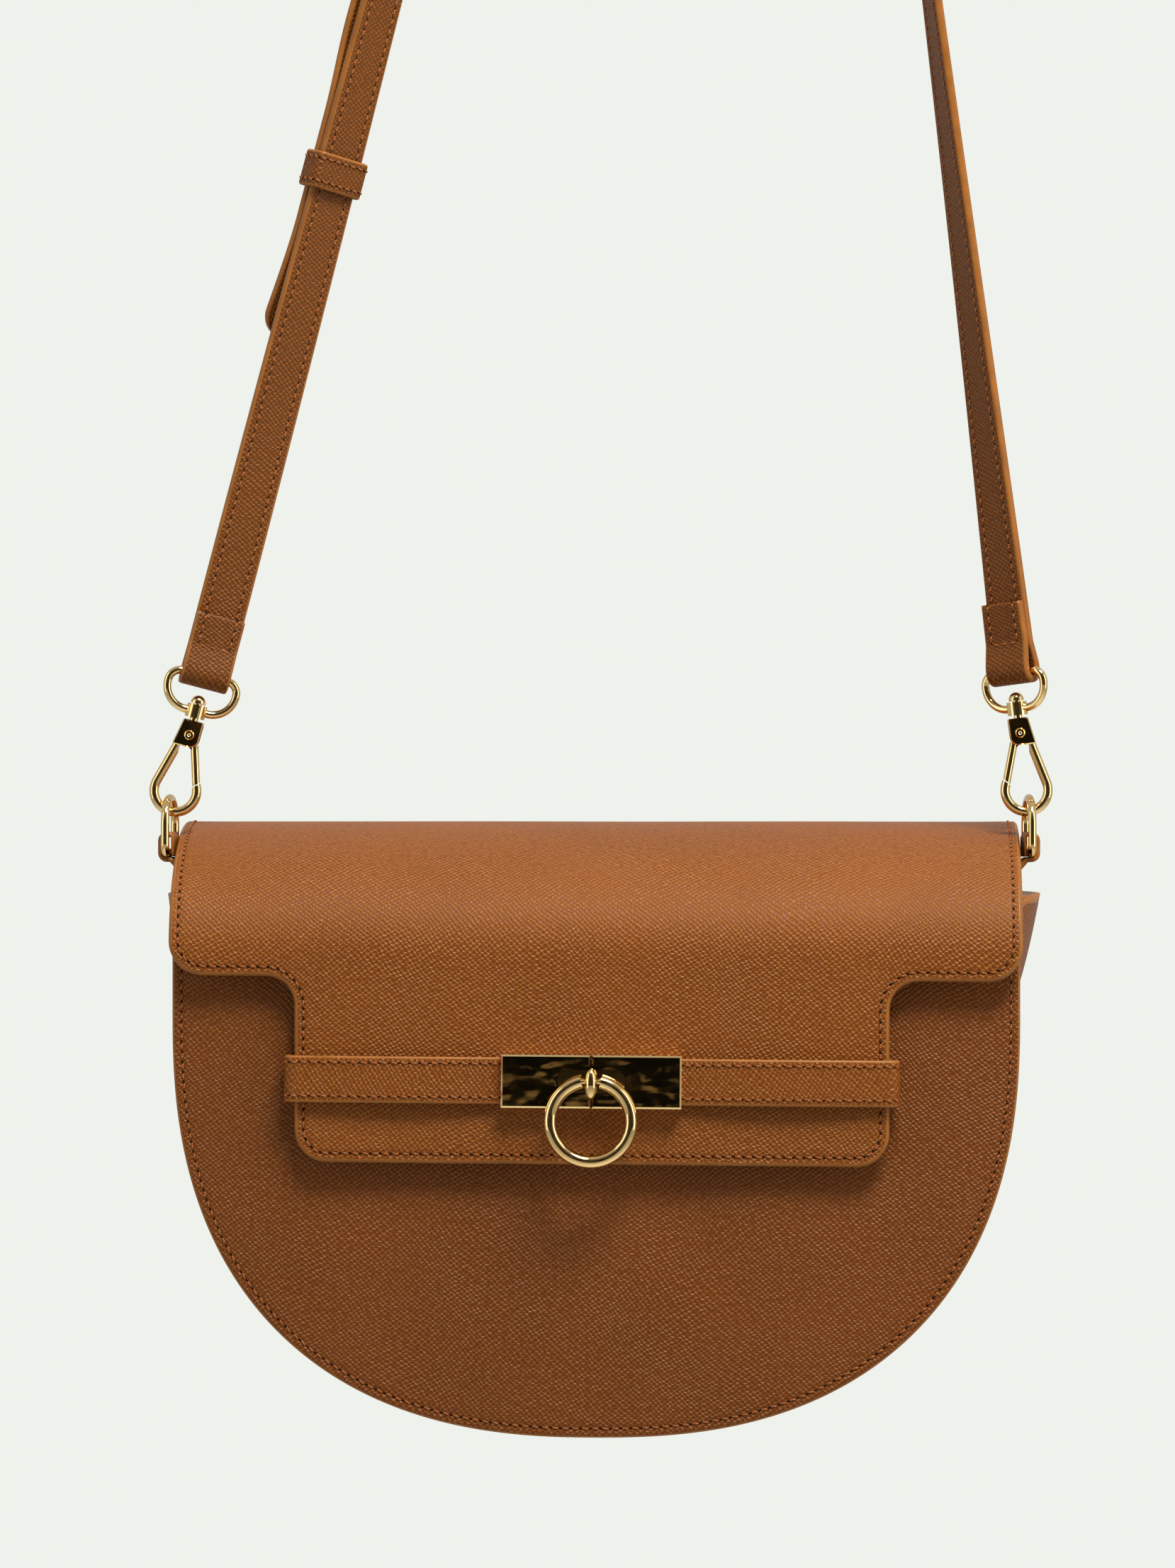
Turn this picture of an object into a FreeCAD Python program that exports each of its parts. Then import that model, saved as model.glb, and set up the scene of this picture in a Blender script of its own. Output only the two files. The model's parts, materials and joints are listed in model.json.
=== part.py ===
"""Half-moon shoulder bag: a D-shaped leather body with a tongued flap, a belt with a turn lock
and pull ring, and a buckled shoulder strap that clips to two D-rings. It hangs from its strap.

Millimetres. Everything is first laid out in the bag's own layout frame: x across the bag,
+y to the back, z up from the flap's top line, y = 0 under the strap. write() then moves each
solid so that the origin is the inner top of the strap's arch, where a peg carries it."""
import FreeCAD
import Part
import math
import os

V = FreeCAD.Vector
X_AXIS = V(1, 0, 0)
Y_AXIS = V(0, 1, 0)
Z_AXIS = V(0, 0, 1)
ORIGIN = V(0, 0, 0)

# bag body
HALF_WIDTH = 109.8       # panels, straight sides
BAG_LOW = -159.3         # bottom of the D
CURVE_TOP = -50.0        # where the straight sides end
CURVE_POWER = 2.42       # exponent of the superellipse below that
DEPTH = 60.0             # outer face of the front panel to outer face of the back panel
DEPTH_SHIFT = 4.6        # puts the centre of mass under the strap
FRONT = -DEPTH / 2 + DEPTH_SHIFT
BACK = DEPTH / 2 + DEPTH_SHIFT
PANEL = 1.4              # outer leather
BOARD = 1.0
CLOTH = 0.6
FLANGE = 5.0             # width of the turned-out gusset edges
FRONT_TOP = -26.0        # top edges of the two panels
BACK_TOP = -5.2
GUSSET_TOP_FRONT = -20.0
GUSSET_TOP_BACK = -18.0
FLARE = {"left": 7.0, "right": 9.9}   # how far the gusset's mouth stands out at the top

# flap
FLAP_HALF = 110.4
FLAP_T = 2.6
FLAP_SKIN = 1.6
FLAP_GAP = 3.0           # tongue's inner face to the front panel
FLAP_FRONT = FRONT - FLAP_GAP - FLAP_T
ARCH_DROP = 34.0         # height of the front quarter ellipse
CREASE_OUT = FLAP_SKIN   # the crease is flush with the flap's sewn root
CREASE_Z = -4.8
CREST_BACK = 8.0         # crest line, in front of the crease
SHOULDER_Z = -40.4
TONGUE_HALF = 76.9
TONGUE_LOW = -88.4
TONGUE_X = -0.9          # the tongue and the belt sit a little to the left
SKEW = 0.008             # the flap's lower edges and the belt fall to the right
ROOT_LOW = -34.0
FOLD_Y = -6.5            # the flap folds here, just ahead of the hooks
FOLD_GAP = 0.4

# belt and lock
BELT_Z = -66.8
BELT_H = 12.1
BELT_T = 1.8
PLATE_X = -0.9
PLATE_LEN = 46.6
PLATE_H = 13.7
PLATE_T = 4.2
PLATE_BEVEL = 0.45
SLOT_LEN = 20.5
SLOT_H = 8.8
RIM = 0.7
BEAD_Z = -67.2
PIN_UP = 0.5             # ring pins above the bead's middle
RING_RADIUS = 10.45
RING_WIRE = 3.3
PIN_R = 0.55
RING_GAP = 2.5           # half the gap between the ring's ends

# D-rings and their tabs
RING_X = {"left": -112.5, "right": 112.8}
RING_TURN = {"left": -6.0, "right": 5.5}
BAR_Z = -8.05
RING_TOP = 6.15
RING_HALF = 7.0
D_WIRE = 2.2
TAB_HALF = 4.4

# hooks and eyes
HOOK_Z = 2.75            # centre of the hook's wire at the bottom of its bow
HOOK_LEAN = {"left": 14.6, "right": -6.5}
EYE_TURN = {"left": 10.0, "right": -36.0}
BOW_R = 5.6
HOOK_WIRE = 2.5
GATE_R = 1.05
NOSE_ANGLE = 40.0        # the bow is bent this far past its widest point, in degrees
NOSE = V(5.0, 0, 8.4)    # middle of the slanting joint between nose and gate
NOSE_SLANT = 41.5        # its angle above level
NOSE_GAP = 0.3
RIVET_UP = 20.7
BOSS_UP = 27.1
EYE_BAR_UP = 36.75
EYE_HALF = 9.2
EYE_WIRE = 2.1           # wire of the eyes and of the buckle frame
BAR_ROOM = 0.3           # a sewn end goes round its bar with this much room
FORK_GAP = 1.15          # half the slot that the gate's root moves in

# strap
STRAP_W = 13.0
STRAP_T = 2.1
PEG_R = 11.0             # inner radius of the arch over the peg
LEAN = {"left": 14.9, "right": -7.1}
TWIST_LOW = {"left": 10.0, "right": -36.0}
TWIST_POWER = {"left": 1.35, "right": 2.95}
TWIST_TOP = 90.0
LAP = 20.0               # length of the sewn turn-back at each end
BUCKLE_UP = 232.0        # along the left strap, from the eye's bar to the buckle's bar
BUCKLE_LEN = 15.0
BUCKLE_W = 19.0
BUCKLE_ROOM = 1.1        # half the thickness that the strap leaves for the frame
TAIL_TIP_UP = 91.0
TAIL_GAP = 0.5           # between the tail and the short strap, inside the keeper
TAIL_BOW = 1.3           # more gap, half way from the keeper to the buckle
TAIL_PEEL = 5.5          # more gap at the tail's tip
KEEPER_UP = 135.9
KEEPER_H = 9.6
KEEPER_TRAVEL = 8.0      # either way
STATION = 9.0            # spacing of the strap's sections
HOLE_PITCH = 22.0
PRONG_SLOT = 9.0


def wire_from(edges):
    return Part.Wire(Part.__sortEdges__(edges))


def rounded(corners, lift):
    """Closed wire with straight sides and arcs; corners are (a, b, radius), lift makes points."""
    count = len(corners)
    starts = []
    mids = []
    ends = []
    for i, (a, b, radius) in enumerate(corners):
        here = FreeCAD.Vector(a, b, 0)
        back = V(*corners[i - 1][:2], 0).sub(here)
        ahead = V(*corners[(i + 1) % count][:2], 0).sub(here)
        half = back.getAngle(ahead) / 2
        back.normalize()
        ahead.normalize()
        cut = radius / math.tan(half)
        middle = back.add(ahead).normalize()
        centre = here.add(middle * (radius / math.sin(half)))
        starts.append(here.add(back * cut))
        ends.append(here.add(ahead * cut))
        mids.append(centre.sub(middle * radius))
    edges = []
    for i in range(count):
        start = lift(starts[i].x, starts[i].y)
        end = lift(ends[i].x, ends[i].y)
        if corners[i][2] > 0:
            edges.append(Part.Arc(start, lift(mids[i].x, mids[i].y), end).toShape())
        after = lift(starts[(i + 1) % count].x, starts[(i + 1) % count].y)
        if end.distanceToPoint(after) > 1e-6:
            edges.append(Part.LineSegment(end, after).toShape())
    return Part.Wire(edges)


def on_xz(a, b):
    return V(a, 0, b)


def on_yz(a, b):
    return V(0, a, b)


def prism(wire, start, along):
    """Solid from a flat wire, moved by start and drawn out by along."""
    face = Part.Face(wire)
    face.translate(start)
    return face.extrude(along)


def slab(wire, y0, y1):
    return prism(wire, V(0, y0, 0), V(0, y1 - y0, 0))


def block(x0, x1, y0, y1, z0, z1):
    return Part.makeBox(x1 - x0, y1 - y0, z1 - z0, V(x0, y0, z0))


def rod(base, axis, radius, length):
    return Part.makeCylinder(radius, length, base, axis)


def pipe(path, radius, start, direction):
    ring = Part.Wire([Part.Circle(start, direction, radius).toShape()])
    return path.makePipeShell([ring], True, True)


def polygon(points, lift):
    return Part.makePolygon([lift(a, b) for a, b in points + points[:1]])


# ---- bag body ----

def d_wire(inset, top, left=0.0, right=0.0):
    """The D outline, inset all round; its straight sides lean out by left and right at the top."""
    a = HALF_WIDTH - inset
    b = CURVE_TOP - BAG_LOW - inset
    steps = 24
    points = []
    for i in range(steps + 1):
        t = math.pi * i / steps
        c = math.cos(t)
        s = math.sin(t)
        x = a * math.copysign(abs(c) ** (2 / CURVE_POWER), c)
        points.append(V(x, 0, CURVE_TOP - b * abs(s) ** (2 / CURVE_POWER)))
    bottom = Part.BSplineCurve()
    bottom.interpolate(points)
    right_top = V(a + right, 0, top)
    left_top = V(-a - left, 0, top)
    sides = [Part.LineSegment(points[-1], left_top), Part.LineSegment(left_top, right_top),
             Part.LineSegment(right_top, points[0])]
    return Part.Wire([bottom.toShape()] + [side.toShape() for side in sides])


def panel_layers():
    """Front and back walls: leather, board and lining, stacked."""
    inner = FLANGE + CLOTH + 0.1
    made = {}
    for side, face, inward, top in (("front", FRONT, 1, FRONT_TOP), ("back", BACK, -1, BACK_TOP)):
        depth = 0.0
        for layer, thick, inset in (("panel", PANEL, 0.0), ("board", BOARD, inner),
                                    ("lining", CLOTH, inner)):
            y0 = face + inward * depth
            y1 = y0 + inward * thick
            made[side + "_" + layer] = slab(d_wire(inset, top), min(y0, y1), max(y0, y1))
            depth += thick
    return made


def mouth_cut():
    """Everything above the gusset's sloping mouth."""
    corners = [(FRONT, GUSSET_TOP_FRONT), (BACK, GUSSET_TOP_BACK), (BACK, 20), (FRONT, 20)]
    return prism(polygon(corners, on_yz), V(-150, 0, 0), V(300, 0, 0))


def gusset_band(inset0, inset1, y0, y1):
    top = GUSSET_TOP_BACK + 1
    outer = slab(d_wire(inset0, top, FLARE["left"], FLARE["right"]), y0, y1)
    rise = 10.0            # the hole runs on past the top, along the same lean
    more = (top + rise - CURVE_TOP) / (top - CURVE_TOP)
    hole = d_wire(inset1, top + rise, FLARE["left"] * more, FLARE["right"] * more)
    inner = slab(hole, y0 - 1, y1 + 1)
    return outer.cut(inner).cut(mouth_cut())


def gusset():
    y0 = FRONT + PANEL
    y1 = BACK - PANEL
    wall = gusset_band(FLANGE - PANEL, FLANGE, y0, y1)
    flange_top = CURVE_TOP + 4
    rim = d_wire(0.0, flange_top)
    hole = d_wire(FLANGE - 0.5, flange_top + 5)
    for y in (y0, y1 - PANEL):
        flange = slab(rim, y, y + PANEL).cut(slab(hole, y - 1, y + PANEL + 1))
        wall = wall.fuse(flange)
    return wall.removeSplitter()


def gusset_lining():
    inside = PANEL + BOARD + CLOTH
    return gusset_band(FLANGE, FLANGE + CLOTH, FRONT + inside, BACK - inside)


def place_ring(shape, side):
    """From the D-ring's own frame (x = 0 at the ring) to the layout frame."""
    shape.rotate(ORIGIN, Z_AXIS, RING_TURN[side])
    shape.translate(V(RING_X[side], 0, 0))
    return shape


def side_tab(side):
    """Leather loop round the D-ring's bar, with a leg that runs down inside the gusset."""
    out = -1 if side == "left" else 1
    clear = D_WIRE / 2 + 0.08

    def lift(a, b):
        return V(out * a, 0, b)
    loop = rounded([(-1.5, -10.5, 0.8), (2.5, -10.5, 2.3), (2.5, -2.6, 2.0), (-1.5, -2.6, 0.8)], lift)
    hole = rounded([(-clear, BAR_Z - clear, 1.1), (clear, BAR_Z - clear, 1.1),
                    (clear, -4.2, 1.1), (-clear, -4.2, 1.1)], lift)
    top_x = -3.2 if side == "right" else -2.7
    low_x = -4.8 if side == "right" else -6.2
    leg = polygon([(-1.4, -9.4), (-0.4, -10.45), (-2.6, -12.6), (top_x, -20.0), (low_x, -36.0),
                   (low_x - 1.6, -36.0), (top_x - 1.7, -20.0), (-4.1, -12.9)], lift)
    solid = slab(loop, -TAB_HALF, TAB_HALF).fuse(slab(leg, -TAB_HALF, TAB_HALF))
    solid = solid.cut(slab(hole, -TAB_HALF - 1, TAB_HALF + 1)).removeSplitter()
    return place_ring(solid, side).cut(gusset()).cut(gusset_lining())


def d_ring(side):
    corners = [(-RING_HALF, BAR_Z, 2.2), (RING_HALF, BAR_Z, 2.2),
               (RING_HALF, RING_TOP, 6.9), (-RING_HALF, RING_TOP, 6.9)]
    path = rounded(corners, on_yz)
    start = V(0, 0, BAR_Z)
    return place_ring(closed_pipe(path, start, Y_AXIS, D_WIRE / 2), side)


def closed_pipe(path, start, direction, radius):
    """Round wire bent into a closed loop; the loop's seam is where start lies."""
    edges = []
    for edge in path.Edges:
        if edge.distToShape(Part.Vertex(start))[0] < 1e-6:
            ends = [v.Point for v in edge.Vertexes]
            first = Part.LineSegment(start, ends[1]).toShape()
            last = Part.LineSegment(ends[0], start).toShape()
        else:
            edges.append(edge)
    ordered = Part.__sortEdges__([first] + edges + [last])
    at = next(i for i, e in enumerate(ordered) if e.isSame(first) or
              e.CenterOfMass.distanceToPoint(first.CenterOfMass) < 1e-6)
    loop = Part.Wire(ordered[at:] + ordered[:at])
    return pipe(loop, radius, start, direction)


# ---- flap ----

def flap_profile(depth):
    """Points of the flap's section in the YZ plane, a given depth under its outer face."""
    crease_y = BACK + CREASE_OUT
    crest_y = crease_y - CREST_BACK
    front_a = crest_y - FLAP_FRONT
    points = []
    steps = 12
    for i in range(steps // 2 + 1):
        t = math.pi / 2 * i / (steps // 2)
        points.append((crest_y + (CREST_BACK - depth) * math.cos(t),
                       CREASE_Z + (-CREASE_Z - depth * 0.9) * math.sin(t)))
    top_z = points[-1][1]
    for i in range(1, steps + 1):
        t = math.pi / 2 * i / steps
        points.append((crest_y - (front_a - depth) * math.sin(t),
                       -ARCH_DROP + (ARCH_DROP + top_z) * math.cos(t)))
    points.append((points[-1][0], TONGUE_LOW - 5))
    return points


def arch_edges(depth):
    points = [V(0, y, z) for y, z in flap_profile(depth)]
    curve = Part.BSplineCurve()
    curve.interpolate(points[:-1])
    return curve.toShape(), Part.LineSegment(points[-2], points[-1]).toShape(), points


def flap_shell(depth0, depth1):
    outer, outer_leg, outside = arch_edges(depth0)
    inner, inner_leg, inside = arch_edges(depth1)
    low = Part.LineSegment(outside[-1], inside[-1]).toShape()
    crease = Part.LineSegment(inside[0], outside[0]).toShape()
    wire = wire_from([outer, outer_leg, low, inner_leg, inner, crease])
    return prism(wire, V(-FLAP_HALF - 5, 0, 0), V(2 * FLAP_HALF + 10, 0, 0))


def flap_outline():
    """Front outline: two shoulders and a tongue, its lower edges falling to the right."""
    def low(x, z):
        return z - SKEW * x
    left = TONGUE_X - TONGUE_HALF
    right = TONGUE_X + TONGUE_HALF
    corners = [(-FLAP_HALF, 12, 0), (-FLAP_HALF, low(-FLAP_HALF, SHOULDER_Z), 9),
               (left, low(left, SHOULDER_Z), 7.5), (left, low(left, TONGUE_LOW), 8.5),
               (right, low(right, TONGUE_LOW), 8.5), (right, low(right, SHOULDER_Z), 7.5),
               (FLAP_HALF, low(FLAP_HALF, SHOULDER_Z), 9), (FLAP_HALF, 12, 0)]
    return rounded(corners, on_xz)


def fold_point():
    """Point of the flap's outer face above FOLD_Y, and how steeply the flap falls there."""
    crest_y = BACK + CREASE_OUT - CREST_BACK
    sine = (crest_y - FOLD_Y) / (crest_y - FLAP_FRONT)
    cosine = math.sqrt(1 - sine * sine)
    steep = math.atan2(ARCH_DROP * sine, (crest_y - FLAP_FRONT) * cosine)
    return V(0, FOLD_Y, ARCH_DROP * (cosine - 1)), steep


def flap_layer(depth0, depth1, moving):
    """The flap ahead of its fold line if moving, else the part behind it up to the crease."""
    outline = slab(flap_outline(), FLAP_FRONT - 5, BACK + 10)
    at, steep = fold_point()
    reach = 100.0
    keep = block(-reach * 2, reach * 2, -reach * 2, -FOLD_GAP / 2, -reach * 2, reach)
    if not moving:
        keep = block(-reach * 2, reach * 2, FOLD_GAP / 2, reach * 2, -reach / 3, reach)
    keep.rotate(ORIGIN, X_AXIS, math.degrees(steep))
    keep.translate(at)
    return flap_shell(depth0, depth1).common(outline).common(keep)


def flap_root():
    """The flap's sewn end on the back panel, below the crease."""
    corners = [(-FLAP_HALF, BACK_TOP, 0.5), (FLAP_HALF, BACK_TOP, 0.5),
               (FLAP_HALF - 2, ROOT_LOW, 6), (-FLAP_HALF + 2, ROOT_LOW, 6)]
    return slab(rounded(corners, on_xz), BACK, BACK + FLAP_SKIN)


# ---- belt and lock, on the tongue ----

def tilt_belt(shape):
    shape.rotate(V(0, 0, BELT_Z), Y_AXIS, math.degrees(math.atan(SKEW)))
    return shape


def belt_half(side):
    """From the lock plate out round the tongue's edge and back in behind it."""
    out = -1 if side == "left" else 1
    start = abs(out * PLATE_LEN / 2 + PLATE_X) - 8
    wrap = TONGUE_HALF + 0.9 + out * TONGUE_X
    front = FLAP_FRONT - 0.3
    rear = FLAP_FRONT + FLAP_T + 0.2
    outer = rounded([(start, front - BELT_T, 0), (wrap + BELT_T, front - BELT_T, 2.2),
                     (wrap + BELT_T, rear + BELT_T, 2.2), (wrap - 14, rear + BELT_T, 0),
                     (wrap - 14, rear, 0), (wrap, rear, 0.4), (wrap, front, 0.4),
                     (start, front, 0)], lambda a, b: V(out * a, b, 0))
    return tilt_belt(prism(outer, V(0, 0, BELT_Z - BELT_H / 2), V(0, 0, BELT_H)))


def stadium(cx, cz, length, height):
    r = height / 2 - 0.01
    half = length / 2
    return rounded([(cx - half, cz - height / 2, r), (cx + half, cz - height / 2, r),
                    (cx + half, cz + height / 2, r), (cx - half, cz + height / 2, r)], on_xz)


def plate_half(side):
    """One end cap of the belt: a box with a pocket for the belt and half of the raised rim."""
    out = -1 if side == "left" else 1
    x0 = PLATE_X + out * 0.15
    x1 = PLATE_X + out * PLATE_LEN / 2
    low = BELT_Z - PLATE_H / 2
    y1 = FLAP_FRONT - 0.1
    y0 = y1 - PLATE_T
    solid = block(min(x0, x1), max(x0, x1), y0, y1, low, low + PLATE_H)
    face_edges = [e for e in solid.Edges if all(abs(v.Point.y - y0) < 1e-6 for v in e.Vertexes)]
    solid = solid.makeChamfer(PLATE_BEVEL, face_edges)
    shield = block(min(x0, x1), max(x0, x1), y0 - RIM, y1, low, low + PLATE_H)
    rim = slab(stadium(PLATE_X, BELT_Z, SLOT_LEN, SLOT_H), y0 - RIM, y1).common(shield)
    solid = solid.fuse(rim)
    inner = stadium(PLATE_X, BELT_Z, SLOT_LEN - 2.4, SLOT_H - 2.4)
    solid = solid.cut(slab(inner, y0 - 2, y1 + 1))
    xb = abs(x1) - 8 if abs(x1) > 8 else 0
    pocket_x = out * (xb - 0.1)
    front = FLAP_FRONT - 0.3
    pocket = block(min(pocket_x, x1 + out), max(pocket_x, x1 + out), front - BELT_T - 0.02, y1 + 1,
                   BELT_Z - BELT_H / 2 - 0.02, BELT_Z + BELT_H / 2 + 0.02)
    return tilt_belt(solid.cut(pocket))


def lock_base():
    """Polished floor of the slot, flanged behind the plates, with the staple that holds the bead."""
    y1 = FLAP_FRONT - 0.1
    floor = slab(stadium(PLATE_X, BELT_Z, SLOT_LEN - 2.8, SLOT_H - 2.8), y1 - 1.6, y1)
    sleeve = rod(V(PLATE_X, y1 - PLATE_T - 0.4, BEAD_Z), Y_AXIS, 2.4, PLATE_T)
    bore = rod(V(PLATE_X, y1 - PLATE_T - 1, BEAD_Z), Y_AXIS, 1.25, PLATE_T + 2)
    return tilt_belt(floor.fuse(sleeve).cut(bore))


def bead_y():
    return FLAP_FRONT - 0.1 - PLATE_T - RIM - RING_WIRE / 2 - 0.55


def lock_knob():
    """Upright oval bead on a turning stem; the ring's pins run in it."""
    stretch = FreeCAD.Matrix()
    stretch.scale(1.6, 1.6, 3.85)
    bead = Part.makeSphere(1.0).transformGeometry(stretch)
    bead.translate(V(PLATE_X, bead_y(), BEAD_Z))
    stem = rod(V(PLATE_X, bead_y(), BEAD_Z), Y_AXIS, 1.2, FLAP_FRONT - 0.6 - bead_y())
    pin_hole = rod(V(PLATE_X - 4, bead_y(), BEAD_Z + PIN_UP), X_AXIS, PIN_R + 0.06, 8)
    return bead.fuse(stem).cut(pin_hole).removeSplitter()


def pull_ring():
    """Round ring, parted at the top; its two pins run in the bead."""
    half_gap = math.asin(RING_GAP / RING_RADIUS)
    left = V(-RING_GAP, 0, 0)
    right = V(RING_GAP, 0, 0)
    low = V(0, 0, -RING_RADIUS * (1 + math.cos(half_gap)))
    path = Part.Wire([Part.Arc(right, low, left).toShape()])
    ring = pipe(path, RING_WIRE / 2, right, V(math.cos(half_gap), 0, -math.sin(half_gap)))
    for out in (-1, 1):
        pin = rod(V(out * (RING_GAP + 0.6), 0, 0), V(-out, 0, 0), PIN_R, RING_GAP + 0.5)
        ring = ring.fuse(pin)
    ring.translate(V(PLATE_X, bead_y(), BEAD_Z + PIN_UP))
    return ring.removeSplitter()


def lock_rivets():
    """Heads of the two rivets that fix the plates through the tongue."""
    heads = []
    for out in (-1, 1):
        head = rod(V(PLATE_X + out * 17.0, FLAP_FRONT + FLAP_T, BELT_Z), Y_AXIS, 2.2, 0.6)
        heads.append(tilt_belt(head))
    return Part.makeCompound(heads)


def snap_parts():
    """Magnetic snap: socket on the front panel, stud on the tongue, a washer behind each."""
    z = BELT_Z - 12.0
    tongue = FLAP_FRONT + FLAP_T
    socket = rod(V(0, FRONT - 1.3, z), Y_AXIS, 7.0, 1.3)
    socket = socket.cut(rod(V(0, FRONT - 2, z), Y_AXIS, 3.3, 3))
    stud = rod(V(0, tongue, z), Y_AXIS, 7.0, 1.1).fuse(rod(V(0, tongue + 1, z), Y_AXIS, 2.2, 0.9))
    washer = rod(V(0, FRONT + PANEL + BOARD + CLOTH, z), Y_AXIS, 6.5, 0.5)
    washer = washer.cut(rod(V(0, FRONT, z), Y_AXIS, 1.5, 9))
    return {"snap_socket": socket, "snap_stud": stud, "snap_washer": washer}


# ---- hooks, gates and eyes: own frame, axis up, hook wire's lowest centre at the origin ----

def place_hook(shape, side, mirrored=True):
    if mirrored and side == "right":
        shape = shape.mirror(ORIGIN, X_AXIS)
    shape.rotate(ORIGIN, Y_AXIS, HOOK_LEAN[side])
    shape.translate(V(RING_X[side], 0, HOOK_Z))
    return shape


def hook(side):
    """Bow, forked neck, turning post and its head; the gate side is +x."""
    centre = V(0, 0, BOW_R)
    neck = V(-2.1, 0, RIVET_UP - 1.6)
    reach = neck.sub(centre)
    spread = math.acos(BOW_R / reach.Length)
    angle = math.atan2(reach.z, reach.x) + spread
    touch = centre.add(V(math.cos(angle), 0, math.sin(angle)) * BOW_R)
    nose_angle = math.radians(NOSE_ANGLE)
    nose = centre.add(V(math.cos(nose_angle), 0, math.sin(nose_angle)) * BOW_R)
    path = Part.Wire([Part.LineSegment(neck, touch).toShape(),
                      Part.Arc(touch, ORIGIN, nose).toShape()])
    bow = pipe(path, HOOK_WIRE / 2, neck, touch.sub(neck)).cut(beyond_nose(-1))
    outline = rounded([(-3.9, RIVET_UP - 3.2, 0.5), (2.7, RIVET_UP - 3.2, 2.3),
                       (2.9, RIVET_UP + 3.9, 0.4), (-2.5, RIVET_UP + 3.9, 0.4)], on_xz)
    fork = slab(outline, -2.0, 2.0)
    fork = fork.makeChamfer(0.3, [e for e in fork.Edges if abs(e.Vertexes[0].Y - e.Vertexes[-1].Y) < 1])
    fork_slot = block(-1.9, 5, -FORK_GAP, FORK_GAP, RIVET_UP - 5, RIVET_UP + 3.0)
    fork = fork.cut(fork_slot).cut(rod(V(0, -3, RIVET_UP), Y_AXIS, 0.8, 6))
    post = rod(V(0, 0, RIVET_UP + 3.7), Z_AXIS, 1.1, BOSS_UP + 3.5 - RIVET_UP - 3.7)
    head = Part.makeSphere(2.0, V(0, 0, BOSS_UP + 2.3))
    head = head.common(rod(V(0, 0, BOSS_UP + 2.05), Z_AXIS, 2.0, 2.3))
    solid = bow.cut(fork_slot).fuse(fork).fuse(post).fuse(head)
    return place_hook(solid.removeSplitter(), side)


def beyond_nose(sign):
    """Block on one side of the slanting joint: -1 clears the bow's part, 1 the gate's."""
    slant = math.radians(NOSE_SLANT)
    along = V(math.cos(slant), 0, math.sin(slant)) * 3
    away = V(-math.sin(slant), 0, math.cos(slant)) * sign
    edge = NOSE.add(away * (NOSE_GAP / 2))
    far = edge.sub(away * 6)
    corners = [edge.sub(along), edge.add(along), far.add(along), far.sub(along)]
    return slab(polygon([(c.x, c.z) for c in corners], on_xz), -2, 2)


def gate(side):
    """Straight gate: a flat root in the fork and a round arm down to the nose."""
    tip = V(6.06, 0, BOW_R - 1.0)
    top = V(1.9, 0, RIVET_UP - 2.4)
    run = tip.sub(top)
    arm = Part.makeCylinder(GATE_R, run.Length, top, run).cut(beyond_nose(1))
    root = rod(V(0, -0.85, RIVET_UP), Y_AXIS, 1.7, 1.7)
    web = slab(polygon([(-1.1, RIVET_UP - 0.6), (1.7, RIVET_UP), (2.9, RIVET_UP - 3.2),
                        (1.1, RIVET_UP - 3.6)], on_xz), -0.85, 0.85)
    solid = arm.fuse(root).fuse(web).cut(rod(V(0, -2, RIVET_UP), Y_AXIS, 0.85, 4))
    return place_hook(solid.removeSplitter(), side)


def gate_rivet(side):
    pin = rod(V(0, -2.05, RIVET_UP), Y_AXIS, 0.8, 4.1)
    for sign in (-1, 1):
        head = Part.makeCone(1.3, 1.0, 0.4, V(0, 2.0 * sign, RIVET_UP), V(0, sign, 0))
        pin = pin.fuse(head).cut(Part.makeSphere(0.75, V(0, 2.85 * sign, RIVET_UP)))
    return place_hook(pin, side)


def gate_spring(side):
    """Envelope of the small coil that closes the gate."""
    up = RIVET_UP + 2.3
    coil = rod(V(-0.8, 0, up), X_AXIS, 0.6, 1.6)
    return place_hook(coil.cut(rod(V(-1, 0, up), X_AXIS, 0.3, 3)), side)


def eye(side):
    """Strap loop with a boss that the hook's post turns in."""
    corners = [(-EYE_HALF, 0, 6.2), (EYE_HALF, 0, 6.2),
               (EYE_HALF, EYE_BAR_UP - BOSS_UP, 3.2), (-EYE_HALF, EYE_BAR_UP - BOSS_UP, 3.2)]
    loop = closed_pipe(rounded(corners, on_xz), ORIGIN, X_AXIS, EYE_WIRE / 2)
    solid = loop.fuse(rod(V(0, 0, -1.75), Z_AXIS, 2.65, 3.5))
    solid = solid.cut(rod(V(0, 0, -3), Z_AXIS, 1.17, 8))
    solid.rotate(ORIGIN, Z_AXIS, EYE_TURN[side])
    solid.translate(V(0, 0, BOSS_UP))
    return place_hook(solid.removeSplitter(), side, mirrored=False)


# ---- strap ----

def up_strap(side):
    lean = math.radians(LEAN[side])
    return V(math.sin(lean), 0, math.cos(lean))


def eye_bar(side):
    lean = math.radians(HOOK_LEAN[side])
    return V(RING_X[side] + EYE_BAR_UP * math.sin(lean), 0, HOOK_Z + EYE_BAR_UP * math.cos(lean))


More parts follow.
